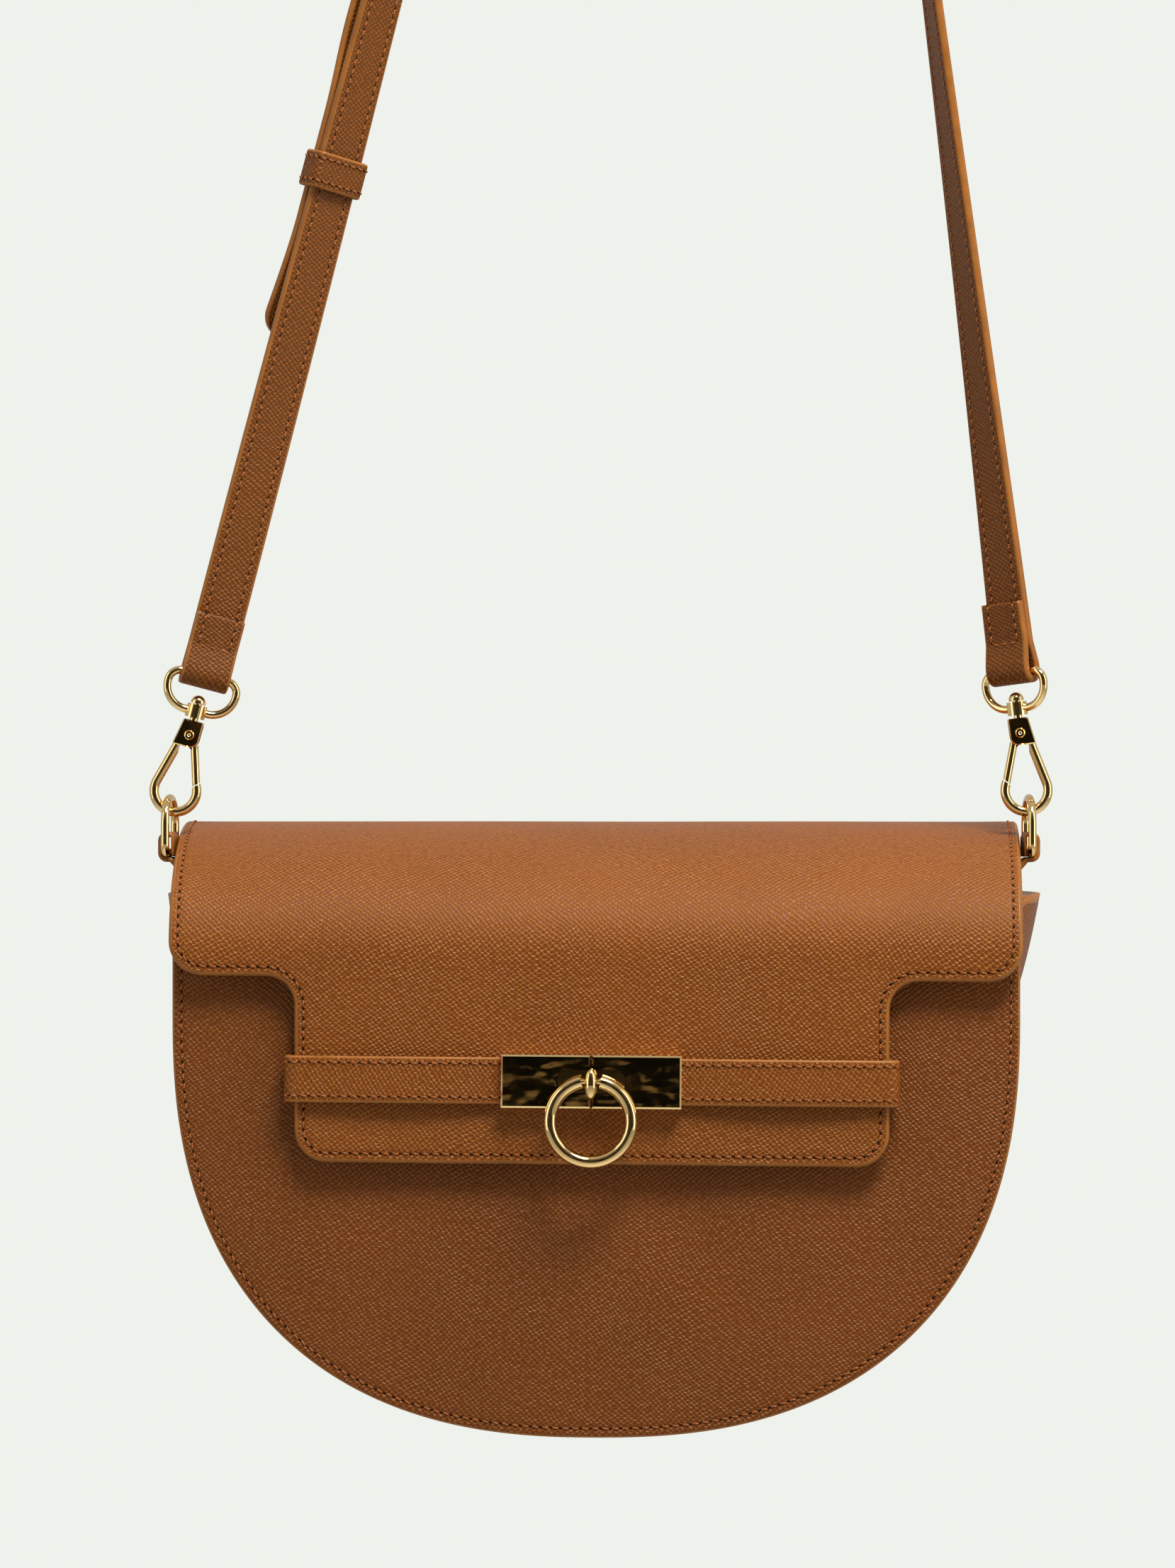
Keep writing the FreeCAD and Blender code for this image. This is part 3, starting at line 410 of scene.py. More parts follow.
def finish_piece(name, points, faces, uvs, marks, materials, body=None):
    """A mesh object from layout points; marks gives each face's material."""
    mesh = bpy.data.meshes.new(name)
    mesh.from_pydata([spot(*p) for p in points], [], faces)
    for finish in materials:
        mesh.materials.append(finish)
    layer = mesh.uv_layers.new(name="flat")
    loops = np.zeros(len(mesh.loops), dtype=np.int32)
    mesh.loops.foreach_get("vertex_index", loops)
    layer.data.foreach_set("uv", np.array(uvs, dtype=np.float32)[loops].ravel())
    mesh.polygons.foreach_set("material_index", np.array(marks, dtype=np.int32))
    mesh.polygons.foreach_set("use_smooth", np.ones(len(faces), dtype=bool))
    mesh.validate()
    piece = bpy.data.objects.new(name, mesh)
    bpy.context.scene.collection.objects.link(piece)
    work = bmesh.new()
    work.from_mesh(mesh)
    bmesh.ops.recalc_face_normals(work, faces=work.faces)
    work.to_mesh(mesh)
    work.free()
    if body:
        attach(piece, body)
    return piece


def arc_corner(a, b, radius, before, after, steps):
    """Points of a rounded corner at (a, b) between two neighbours."""
    here = Vector((a, b))
    back = (Vector(before) - here).normalized()
    ahead = (Vector(after) - here).normalized()
    half = back.angle(ahead) / 2
    cut = radius / math.tan(half)
    middle = (back + ahead).normalized()
    centre = here + middle * (radius / math.sin(half))
    start = here + back * cut - centre
    end = here + ahead * cut - centre
    turn = start.angle_signed(end)
    made = []
    for i in range(steps + 1):
        made.append(centre + Matrix.Rotation(-turn * i / steps, 2) @ start)
    return made


def rounded_outline(corners, step=2.0):
    """Closed outline from (a, b, radius) corners, its straight runs divided evenly."""
    turned = []
    for i, (a, b, radius) in enumerate(corners):
        before = corners[i - 1][:2]
        after = corners[(i + 1) % len(corners)][:2]
        if radius > 0:
            turned.append(arc_corner(a, b, radius, before, after, 10))
        else:
            turned.append([Vector((a, b))])
    outline = []
    for i, run in enumerate(turned):
        outline.extend(run)
        start = run[-1]
        end = turned[(i + 1) % len(turned)][0]
        count = max(1, round((end - start).length / step))
        for k in range(1, count):
            outline.append(start.lerp(end, k / count))
    return outline


def inset_outline(outline, depth):
    """The outline moved inwards; the outline runs anticlockwise or clockwise."""
    points = np.array([tuple(p) for p in outline])
    area = np.sum(points[:, 0] * np.roll(points[:, 1], -1) - np.roll(points[:, 0], -1) * points[:, 1])
    sign = 1 if area > 0 else -1
    ahead = np.roll(points, -1, 0) - points
    ahead /= np.linalg.norm(ahead, axis=1)[:, None]
    back = np.roll(ahead, 1, 0)
    normal_a = np.stack([-ahead[:, 1], ahead[:, 0]], 1)
    normal_b = np.stack([-back[:, 1], back[:, 0]], 1)
    mean = normal_a + normal_b
    mean /= np.linalg.norm(mean, axis=1)[:, None]
    stretch = 1 / np.clip(np.sum(mean * normal_a, 1), 0.5, 1)
    return points + mean * stretch[:, None] * depth * sign


def distance_to(points, outline):
    """Distance of each point to the closed outline."""
    a = np.array([tuple(p) for p in outline])
    b = np.roll(a, -1, 0)
    run = b - a
    best = np.full(len(points), 1e9)
    for start, along in zip(a, run):
        t = np.clip(((points - start) @ along) / (along @ along), 0, 1)
        away = np.linalg.norm(points - (start + t[:, None] * along), axis=1)
        best = np.minimum(best, away)
    return best


def inside(points, outline):
    a = np.array([tuple(p) for p in outline])
    b = np.roll(a, -1, 0)
    odd = np.zeros(len(points), dtype=bool)
    for (x0, y0), (x1, y1) in zip(a, b):
        crosses = (y0 > points[:, 1]) != (y1 > points[:, 1])
        at = (x1 - x0) * (points[:, 1] - y0) / ((y1 - y0) or 1e-12) + x0
        odd ^= crosses & (points[:, 0] < at)
    return odd


RINGS = (0.0, 0.12, 0.3, 0.5, 0.72, 0.95, 1.3, 1.75, 2.1, 2.4, 2.7, 3.1, 4.0, 5.5)


def filled(outline, grid=3.0, rings=RINGS):
    """Triangles that fill an outline, dense near its edge: points, their depths inside, faces."""
    points = []
    edges = []
    for depth in rings:
        ring = inset_outline(outline, depth)
        first = len(points)
        points.extend(map(tuple, ring))
        edges.extend((first + i, first + (i + 1) % len(ring)) for i in range(len(ring)))
    low = np.min(points, 0)
    high = np.max(points, 0)
    xs = np.arange(low[0], high[0], grid)
    ys = np.arange(low[1], high[1], grid)
    cloud = np.array([(x + (grid / 2 if j % 2 else 0), y) for j, y in enumerate(ys) for x in xs])
    cloud = cloud[inside(cloud, outline)]
    cloud = cloud[distance_to(cloud, outline) > rings[-1] + grid * 0.45]
    points.extend(map(tuple, cloud))
    found = delaunay_2d_cdt([Vector(p) for p in points], edges, [], 1, 1e-4)
    flat = np.array([tuple(p) for p in found[0]])
    faces = [tuple(f) for f in found[2]]
    return flat, distance_to(flat, outline), faces


def groove(depth, at, width, deep):
    return deep * np.exp(-((depth - at) / width) ** 2)


def slab_piece(name, outline, place, thick, body=None, swell=None, radius=1.1,
               rows=(STITCH_IN,), grid=3.0, finishes=None, band=EDGE_BAND, rings=RINGS):
    """A closed leather sheet over an outline; place(u, v, h) gives its layout points, h outwards."""
    flat, depth, faces = filled(outline, grid, rings)
    share = np.clip(1 - depth / radius, 0, 1)
    half = thick / 2 * np.sqrt(np.clip(1 - share ** 2, 0, 1))
    top = half.copy()
    for row in rows:
        top -= groove(depth, row, 0.45, 0.16)
    if swell is not None:
        top += swell(flat, depth)
    count = len(flat)
    rim = depth < 1e-3
    lower = {}
    points = [place(u, v, h - thick / 2) for (u, v), h in zip(flat, top)]
    uvs = [tuple(p) for p in flat]
    for i in range(count):
        if rim[i]:
            lower[i] = i
        else:
            lower[i] = len(points)
            u, v = flat[i]
            points.append(place(u, v, -half[i] - thick / 2))
            uvs.append((u, v))
    marks = []
    every = []
    for face in faces:
        painted = np.mean([depth[i] for i in face]) < band
        every.append(face)
        marks.append(1 if painted else 0)
    for face in faces:
        painted = np.mean([depth[i] for i in face]) < band
        every.append(tuple(lower[i] for i in reversed(face)))
        marks.append(1 if painted else 2)
    finishes = finishes or (HIDE, PAINT, HIDE)
    return finish_piece(name, points, every, uvs, marks, finishes, body)


class Stitches:
    """Thread stitches and near-black marks at their holes, painted shade for the holes' dark insides, gathered
    into one mesh.
    """
    SIDES = 6
    RINGS = 5

    def __init__(self):
        self.points = []
        self.faces = []
        self.uvs = []
        self.marks = []

    def tube(self, path, wide, high, up, mark):
        first = len(self.points)
        count = len(path)
        length = 0.0
        for k, point in enumerate(path):
            ahead = path[min(k + 1, count - 1)] - path[max(k - 1, 0)]
            side = ahead.cross(up).normalized()
            fat = math.sin(math.pi * (0.14 + 0.72 * k / (count - 1))) ** 0.5
            if k:
                length += (point - path[k - 1]).length
            for s in range(self.SIDES):
                angle = 2 * math.pi * s / self.SIDES
                self.points.append(point + side * (wide * fat * math.cos(angle)) +
                                   up * (high * fat * math.sin(angle)))
                self.uvs.append((length, s / self.SIDES))
        for k in range(count - 1):
            for s in range(self.SIDES):
                a = first + k * self.SIDES + s
                b = first + k * self.SIDES + (s + 1) % self.SIDES
                self.faces.append((a, b, b + self.SIDES, a + self.SIDES))
                self.marks.append(mark)
        self.faces.append(tuple(first + s for s in reversed(range(self.SIDES))))
        self.faces.append(tuple(first + (count - 1) * self.SIDES + s for s in range(self.SIDES)))
        self.marks += [mark, mark]

    def row(self, path, ups, pitch=STITCH_PITCH, slant=0.32, closed=False):
        """Stitches along a path of layout points; ups are the surface normals there."""
        if closed:
            path = list(path) + [path[0]]
            ups = list(ups) + [ups[0]]
        lengths = [0.0]
        for a, b in zip(path, path[1:]):
            lengths.append(lengths[-1] + (b - a).length)
        count = max(1, round(lengths[-1] / pitch))
        step = lengths[-1] / count

        def place_at(distance):
            distance = min(max(distance, 0.0), lengths[-1])
            i = int(np.searchsorted(lengths, distance, side="right")) - 1
            i = min(i, len(path) - 2)
            t = (distance - lengths[i]) / max(lengths[i + 1] - lengths[i], 1e-9)
            return path[i].lerp(path[i + 1], t), ups[i].lerp(ups[i + 1], t).normalized()

        for i in range(count):
            start = (i + 0.16) * step
            end = (i + 0.84) * step
            line = []
            for k in range(self.RINGS):
                t = k / (self.RINGS - 1)
                point, up = place_at(start + (end - start) * t)
                near = place_at(start + (end - start) * min(t + 0.1, 1))[0]
                far = place_at(start + (end - start) * max(t - 0.1, 0))[0]
                side = (near - far).cross(up).normalized()
                lift = 0.3 * math.sin(math.pi * t) ** 0.8 - 0.08
                line.append(point + up * lift + side * (slant * (t - 0.5)))
            middle_up = place_at((i + 0.5) * step)[1]
            self.tube(line, 0.27, 0.22, middle_up, 0)
        for i in range(count + (0 if closed else 1)):
            point, up = place_at(i * step)
            near = place_at(i * step + 0.2)[0] - place_at(i * step - 0.2)[0]
            if near.length < 1e-6:
                continue
            near.normalize()
            # The hole is a flat near-black tube on the surface: painted shade for its dark inside.
            hole = [point + near * d for d in (-0.5, 0.0, 0.5)]
            self.tube(hole, 0.36, 0.13, up, 1)

    def make(self, name, body=None):
        points = [tuple(p) for p in self.points]
        return finish_piece(name, points, self.faces, self.uvs, self.marks, (THREAD, PAINTED_HOLE_SHADE), body)


# ---- bag body ----

def d_outline(inset, steps):
    """The D: a superellipse bottom under straight sides, as (x, z) points."""
    a = HALF_WIDTH - inset
    b = CURVE_TOP - BAG_LOW - inset
    points = []
    for i in range(steps + 1):
        t = math.pi * i / steps
        c = math.cos(t)
        s = math.sin(t)
        x = a * math.copysign(abs(c) ** (2 / CURVE_POWER), c)
        points.append(Vector((x, CURVE_TOP - b * abs(s) ** (2 / CURVE_POWER))))
    return points


def even_run(points, step):
    """The open polyline resampled at even steps."""
    lengths = [0.0]
    for a, b in zip(points, points[1:]):
        lengths.append(lengths[-1] + (b - a).length)
    count = max(1, round(lengths[-1] / step))
    made = []
    i = 0
    for k in range(count + 1):
        distance = lengths[-1] * k / count
        while i < len(points) - 2 and lengths[i + 1] < distance:
            i += 1
        t = (distance - lengths[i]) / (lengths[i + 1] - lengths[i])
        made.append(points[i].lerp(points[i + 1], t))
    return made


def panel_outline(top):
    """Closed D outline with slightly rounded top corners."""
    bottom = d_outline(0.0, SPINE_STEPS)
    run = [Vector((HALF_WIDTH, top - 2.2))] + bottom + [Vector((-HALF_WIDTH, top - 2.2))]
    run = even_run(run, 2.2)
    corner_l = arc_corner(-HALF_WIDTH, top, 2.2, (-HALF_WIDTH, top - 9), (0, top), 6)
    corner_r = arc_corner(HALF_WIDTH, top, 2.2, (0, top), (HALF_WIDTH, top - 9), 6)
    across = even_run([corner_l[-1], corner_r[0]], 2.2)
    return run + corner_l[1:] + across[1:-1] + corner_r[:-1]


def ripples(seed, size, height):
    """Smooth random swelling, as a function of flat points."""
    random.seed(seed)
    waves = []
    for _ in range(14):
        angle = random.uniform(0, 2 * math.pi)
        length = size * random.uniform(0.6, 1.8)
        waves.append((math.cos(angle) / length, math.sin(angle) / length, random.uniform(0, 6.28)))

    def at(flat):
        total = np.zeros(len(flat))
        for a, b, phase in waves:
            total += np.sin(2 * math.pi * (flat[:, 0] * a + flat[:, 1] * b) + phase)
        return total / len(waves) ** 0.5 * height
    return at


def panel_piece(name, node, face, outward, top, body):
    outline = panel_outline(top)
    waves = ripples(7 if outward < 0 else 9, 60, 0.16)

    def swell(flat, depth):
        return (waves(flat) + 0.5) * np.clip(depth / 30, 0, 1)

    def place(u, v, h):
        return (u, face + outward * h, v)
    # The panels take the darker leather copy, which carries painted shade.
    piece = slab_piece(name, outline, place, PANEL, body, swell=swell, band=PANEL_BAND,
                       finishes=(SHADED_PANEL_HIDE, PAINT, SHADED_PANEL_HIDE))
    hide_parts(node)
    rows = Stitches()
    ring = inset_outline(outline, STITCH_IN)
    path = [Vector((x, face - outward * 0.1, z)) for x, z in ring]
    rows.row(path, [Vector((0, outward, 0))] * len(path), closed=True)
    rows.make(name + "_stitching", body)


def gusset_mouth(y):
    """Height of the mouth's edge: a quick rise behind the front panel, then an even one."""
    share = (y - FRONT) / (BACK - FRONT)
    quick = MOUTH_STEP * min(1.0, share / 0.12)
    return GUSSET_TOP_FRONT + quick + (GUSSET_TOP_BACK - GUSSET_TOP_FRONT - MOUTH_STEP) * share


def gusset_spine():
    """The band's rim as even points, and the first and last of them below the straight sides."""
    spine = [Vector((HALF_WIDTH, 0.0))] + d_outline(0.0, SPINE_STEPS) + [Vector((-HALF_WIDTH, 0.0))]
    spine = even_run(spine, 2.5)
    low = [i for i, p in enumerate(spine) if p.y < CURVE_TOP]
    return spine, low[0], low[-1]


def gusset_rows(ring):
    """One closed section of the band per station, from the right mouth round to the left one."""
    wall_out = FLANGE - PANEL
    spine, first_low, last_low = gusset_spine()
    waves = ripples(21, 45, 0.22)
    rises = [i / 14 for i in range(15)]
    stations = [("right", t) for t in rises[::-1]]
    stations += [("low", i) for i in range(first_low, last_low + 1)]
    stations += [("left", t) for t in rises]
    rows = []
    for kind, value in stations:
        row = []
        for y, inset in ring:
            belly = max(0.0, math.sin(math.pi * (y - FRONT) / (BACK - FRONT)))
            if kind == "low":
                tangent = (spine[value + 1] - spine[value - 1]).normalized()
                inward = Vector((tangent.y, -tangent.x))
                if inward.dot(Vector((0, -60)) - spine[value]) < 0:
                    inward = -inward
                p = spine[value] + inward * inset
                if wall_out - 0.5 < inset:
                    p += inward * (waves(np.array([(value * 2.5, y)]))[0] * belly)
                row.append((p.x, y, p.y))
            else:
                sign = 1 if kind == "right" else -1
                z = CURVE_TOP + (gusset_mouth(y) - CURVE_TOP) * value
                lean = (z - CURVE_TOP) / (GUSSET_TOP_BACK + 1 - CURVE_TOP)
                out = FLARE[kind] * lean ** 0.6 * belly ** 0.5 * min(1.0, inset / wall_out)
                row.append((sign * (HALF_WIDTH - inset + out), y, z))
        rows.append(row)
    return rows


def band_piece(name, ring, painted, finishes):
    """A closed section carried round the bag, its two ends capped. The first half of the
    section is its outer side."""
    rows = gusset_rows(ring)
    points = [p for row in rows for p in row]
    uvs = []
    length = 0.0
    before = None
    for row in rows:
        middle = Vector(row[3])
        if before is not None:
            length += (middle - before).length
        before = middle
        around = 0.0
        for k, (y, inset) in enumerate(ring):
            if k:
                around += math.hypot(y - ring[k - 1][0], inset - ring[k - 1][1])
            uvs.append((length, around))
    faces = []
    marks = []
    size = len(ring)
    for i in range(len(rows) - 1):
        for k in range(size):
            a = i * size + k
            b = i * size + (k + 1) % size
            faces.append((a, b, b + size, a + size))
            marks.append(1 if k in painted or i in (0, len(rows) - 2) else 0)
    last = (len(rows) - 1) * size
    for start, flip in ((0, False), (last, True)):
        for k in range(size // 2):
            a, b = start + k, start + k + 1
            c, d = start + size - 1 - k, start + size - 2 - k
            if b >= d:
                break
            faces.append((a, b, d, c) if flip else (c, d, b, a))
            marks.append(1)
    return finish_piece(name, points, faces, uvs, marks, finishes, "bag")


def gusset_piece():
    """The band between the panels: turned-out flanges, a wall, and a mouth that stands out."""
    depth0 = FRONT + PANEL
    depth1 = BACK - PANEL
    wall_out = FLANGE - PANEL
    section = [(depth0, 0.25), (depth0 + PANEL / 2, 0.0), (depth0 + PANEL, 0.25),
               (depth0 + PANEL, 0.9), (depth0 + PANEL, wall_out - 1.2), (depth0 + PANEL + 0.3, wall_out - 0.4),
               (depth0 + PANEL + 1.2, wall_out)]
    flat_start = depth0 + PANEL + 1.2
    flat_run = depth1 - depth0 - 2 * PANEL - 2.4
    count = 16
    for i in range(1, count):
        section.append((flat_start + flat_run * i / count, wall_out))
    outer = section + [(depth0 + depth1 - y, inset) for y, inset in section[:7]][::-1]
    inner = [(depth1, wall_out + PANEL - 0.4), (depth1 - 0.4, wall_out + PANEL)]
    for i in range(1, count):
        inner.append((depth1 - (depth1 - depth0) * i / count, wall_out + PANEL))
    inner += [(depth0 + 0.4, wall_out + PANEL), (depth0, wall_out + PANEL - 0.4)]
    painted = {0, 1, 2, len(outer) - 4, len(outer) - 3, len(outer) - 2}
    piece = band_piece("gusset_leather", outer + inner, painted, (HIDE, PAINT))
    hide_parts("gusset")


def gusset_lining_piece():
    """Thin cloth against the inner side of the gusset's wall, up to its mouth."""
    margin = 3.0
    count = 14
    across = [FRONT + margin + (BACK - FRONT - 2 * margin) * i / count for i in range(count + 1)]
    ring = [(y, FLANGE + 0.06) for y in across] + [(y, FLANGE + 0.6) for y in across[::-1]]
    piece = band_piece("gusset_lining_cloth", ring, set(), (UNDER, UNDER))
    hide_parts("gusset_lining")


# ---- flap ----

def flap_section():
    """Outer profile from the crease over the crest to below the tongue: (y, z) and lengths."""
    crease_y = BACK + CREASE_OUT
    crest_y = crease_y - CREST_BACK
    reach = crest_y - FLAP_FRONT
    run = []
    for i in range(17):
        t = math.pi / 2 * i / 16
        run.append(Vector((crest_y + CREST_BACK * math.cos(t), CREASE_Z - CREASE_Z * math.sin(t))))
    for i in range(1, 61):
        t = math.pi / 2 * i / 60
        run.append(Vector((crest_y - reach * math.sin(t), -ARCH_DROP + ARCH_DROP * math.cos(t))))
    lengths = [0.0]
    for a, b in zip(run, run[1:]):
        lengths.append(lengths[-1] + (b - a).length)
    return run, np.array(lengths)


PROFILE, PROFILE_AT = flap_section()
CREASE_W = PROFILE_AT[-1] - ARCH_DROP     # unrolled height of the crease


def on_flap(u, w, h):
    """Flap point at x = u and unrolled height w, h outside its outer face."""
    if w <= -ARCH_DROP:
        return (u, FLAP_FRONT - h, w)
    distance = CREASE_W - w
    i = int(np.clip(np.searchsorted(PROFILE_AT, distance, side="right") - 1, 0, len(PROFILE) - 2))
    t = (distance - PROFILE_AT[i]) / (PROFILE_AT[i + 1] - PROFILE_AT[i])
    point = PROFILE[i].lerp(PROFILE[i + 1], t)
    before = PROFILE[max(i - 1, 0)]
    after = PROFILE[min(i + 2, len(PROFILE) - 1)]
    ahead_a = (PROFILE[i + 1] - before).normalized()
    ahead_b = (after - PROFILE[i]).normalized()
    ahead = ahead_a.lerp(ahead_b, t).normalized()
    return (u, point.x + ahead.y * h, point.y - ahead.x * h)


def flap_outline():
    def low(x, z):
        return z - SKEW * x
    top = CREASE_W + 1.0
    left = TONGUE_X - TONGUE_HALF
    right = TONGUE_X + TONGUE_HALF
    corners = [(-FLAP_HALF, top, 2.6), (-FLAP_HALF, low(-FLAP_HALF, SHOULDER_Z), 9),
               (left, low(left, SHOULDER_Z), 7.5), (left, low(left, TONGUE_LOW), 8.5),
               (right, low(right, TONGUE_LOW), 8.5), (right, low(right, SHOULDER_Z), 7.5),
               (FLAP_HALF, low(FLAP_HALF, SHOULDER_Z), 9), (FLAP_HALF, top, 2.6)]
    return rounded_outline(corners, 2.2)


def blend_flap(piece):
    """Bakes the piece's placement into its mesh; the flap's fold line, just ahead of the hooks, is not set up
    here.
    """
    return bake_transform(piece)


def flap_pieces():
    outline = flap_outline()
    waves = ripples(3, 70, 0.12)

    def swell(flat, depth):
        return waves(flat) * np.clip(depth / 20, 0, 1)
    piece = slab_piece("flap_leather", outline, on_flap, FLAP_T - 0.25, swell=swell, grid=2.6)
    blend_flap(piece)
    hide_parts("flap", "flap_top")
    inner = inset_outline(outline, EDGE_BAND + 0.2)
    under = slab_piece("flap_lining_leather", [Vector(p) for p in inner],
                       lambda u, v, h: on_flap(u, v, h - FLAP_T + 0.35), 0.4, radius=0.3,
                       rows=(), finishes=(UNDER, UNDER, UNDER), rings=(0, 0.1, 0.3, 1.5, 4.0))
    blend_flap(under)
    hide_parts("flap_lining", "flap_top_lining")
    rows = Stitches()
    ring = [Vector(p) for p in inset_outline(outline, STITCH_IN)]
    ring = [p for p in ring if p.y < CREASE_W - 1.0]
    corner = Vector((-FLAP_HALF, CREASE_W))
    top_left = min(range(len(ring)), key=lambda i: (ring[i] - corner).length)
    ring = ring[top_left:] + ring[:top_left]
    for h, side in ((-0.1, 1), (0.1 - FLAP_T, -1)):
        path = [Vector(on_flap(p.x, p.y, h)) for p in ring]
        outer = [Vector(on_flap(p.x, p.y, h + 1)) for p in ring]
        rows.row(path, [(b - a) * side for a, b in zip(path, outer)])
    blend_flap(rows.make("flap_stitching"))


def root_piece():
    """The flap's sewn end on the back panel."""
    corners = [(-FLAP_HALF, BACK_TOP, 0.8), (-FLAP_HALF + 2, ROOT_LOW, 6),
               (FLAP_HALF - 2, ROOT_LOW, 6), (FLAP_HALF, BACK_TOP, 0.8)]
    outline = rounded_outline(corners, 2.4)
    piece = slab_piece("flap_root_leather", outline, lambda u, v, h: (u, BACK + 1.6 + h, v), 1.6, "bag")
    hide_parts("flap_root")
    rows = Stitches()
    ring = inset_outline(outline, STITCH_IN)
    path = [Vector((x, BACK + 1.5, z)) for x, z in ring]
    rows.row(path, [Vector((0, 1, 0))] * len(path), closed=True)
    rows.make("flap_root_stitching", "bag")


# ---- strips: belt, strap, keeper, tabs ----

def strip_section(half, thick, radius=0.62):
    """Closed section of a strip: (across, out, painted?) going round."""
    ring = []
    flat = half - radius
    for i in range(9):
        ring.append((-flat + 2 * flat * i / 8, thick / 2))
    for sx, sy, start in ((1, 1, 90), (1, -1, 0), (-1, -1, -90), (-1, 1, 180)):
        for i in range(1, 5):
            angle = math.radians(start - 90 * i / 4)
            ring.append((sx * flat + radius * math.cos(angle),
                         sy * (thick / 2 - radius) + radius * math.sin(angle)))
        if sx == 1 and sy == -1:
            for i in range(1, 9):
                ring.append((flat - 2 * flat * i / 8, -thick / 2))
    return ring[:-1]


def strip_piece(name, stations, half, thick, body=None, closed=False, caps=True, finish=None,
                widths=None, thicks=None):
    """A leather strip through stations (centre, across, out), in layout millimetres."""
    ring = strip_section(half, thick)
    size = len(ring)
    painted_from = half - 0.62 - 0.25
    points = []
    uvs = []
    length = 0.0
    for k, (centre, across, out) in enumerate(stations):
        if k:
            length += (centre - stations[k - 1][0]).length
        share = widths[k] if widths else 1.0
        thin = thicks[k] if thicks else 1.0
        round_way = 0.0
        for i, (a, b) in enumerate(ring):
            if i:
                round_way += math.hypot(a - ring[i - 1][0], b - ring[i - 1][1])
            points.append(tuple(centre + across * (a * share) + out * (b * thin)))
            uvs.append((round_way, length))
    faces = []
    marks = []
    count = len(stations)
    for k in range(count if closed else count - 1):
        for i in range(size):
            j = (i + 1) % size
            a = k * size + i
            b = k * size + j
            c = (k + 1) % count * size
            faces.append((a, b, c + j, c + i))
            edge = min(abs(ring[i][0]), abs(ring[j][0])) > painted_from
            marks.append(1 if edge else 0)
    if caps and not closed:
        faces.append(tuple(range(size)))
        faces.append(tuple((count - 1) * size + i for i in reversed(range(size))))
        marks += [1, 1]
    # A strip without its own finish takes the strap leather's darker copy, which carries painted shade.
    return finish_piece(name, points, faces, uvs, marks, (finish or SHADED_STRAP_HIDE, PAINT), body)


def strip_rows(rows, stations, offsets, lift, pitch=STITCH_PITCH, closed=False, trim=0):
    """Stitch rows along a strip on the side that out points to (lift > 0) or the other."""
    used = stations[trim:len(stations) - trim] if trim else stations
    for offset in offsets:
        path = [c + a * offset + o * lift for c, a, o in used]
        ups = [o * math.copysign(1, lift) for c, a, o in used]
        rows.row(path, ups, pitch, closed=closed)


def tilt_belt(point):
    angle = math.atan(SKEW)
    x, y, z = point
    dz = z - BELT_Z
    return Vector((x * math.cos(angle) + dz * math.sin(angle), y,
                   BELT_Z - x * math.sin(angle) + dz * math.cos(angle)))


def belt_piece(side):
    """From the lock plate, bowed a little off the tongue, round its edge and back behind it."""
    out = -1 if side == "left" else 1
    start = abs(out * PLATE_LEN / 2 + PLATE_X) - 7.5
    wrap = TONGUE_HALF + 0.9 + out * TONGUE_X
    front = FLAP_FRONT - 0.3 - BELT_T / 2
    rear = FLAP_FRONT + FLAP_T + 0.2 + BELT_T / 2
    path = []
    count = 30
    turn = (rear - front) / 2
    straight_end = wrap + BELT_T / 2 - turn * 0.75
    for i in range(count + 1):
        t = i / count
        x = start + (straight_end - start) * t
        bow = 0.95 * math.sin(math.pi * min(1.0, max(0.0, (t - 0.12) / 0.88))) ** 1.3
        path.append(Vector((x, front - bow)))
    for i in range(1, 13):
        angle = -math.pi / 2 + math.pi * i / 12
        path.append(Vector((straight_end + turn * 0.75 * math.cos(angle),
                            front + turn + turn * math.sin(angle))))
    for i in range(1, 9):
        path.append(Vector((straight_end - 13 * i / 8, rear)))
    stations = []
    for i, p in enumerate(path):
        ahead = (path[min(i + 1, len(path) - 1)] - path[max(i - 1, 0)]).normalized()
        centre = tilt_belt((out * p.x, p.y, BELT_Z))
        across = (tilt_belt((0, 0, BELT_Z + 1)) - tilt_belt((0, 0, BELT_Z))).normalized()
        outward = Vector((out * ahead.y, -ahead.x, 0)).normalized()
        stations.append((centre, across, outward))
    piece = strip_piece("belt_" + side + "_leather", stations, BELT_H / 2, BELT_T, "flap", finish=HIDE)
    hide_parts("belt_" + side)
    rows = Stitches()
    strip_rows(rows, stations[:36], (BELT_H / 2 - 1.7, -BELT_H / 2 + 1.7), BELT_T / 2 - 0.06)
    rows.make("belt_" + side + "_stitching", "flap")


def up_strap(side):
    lean = math.radians(LEAN[side])
    return Vector((math.sin(lean), 0, math.cos(lean)))


def eye_bar(side):
    lean = math.radians(HOOK_LEAN[side])
    return Vector((RING_X[side] + EYE_BAR_UP * math.sin(lean), 0, HOOK_Z + EYE_BAR_UP * math.cos(lean)))


def arch():
    """Centre of the arch over the peg, and how far up each strap line it starts."""
    left = eye_bar("left")
    gap = eye_bar("right") - left
    u = up_strap("left")
    w = up_strap("right")
    cross = u.x * w.z - u.z * w.x
    run_left = (gap.x * w.z - gap.z * w.x) / cross
    run_right = (gap.x * u.z - gap.z * u.x) / cross
    half = math.radians(LEAN["left"] - LEAN["right"]) / 2
    radius = PEG_R + STRAP_T / 2
    centre = left + u * run_left - (u + w).normalized() * (radius / math.sin(half))
    cut = radius / math.tan(half)
    return centre, {"left": run_left - cut, "right": run_right - cut}


ARCH, RUN = arch()


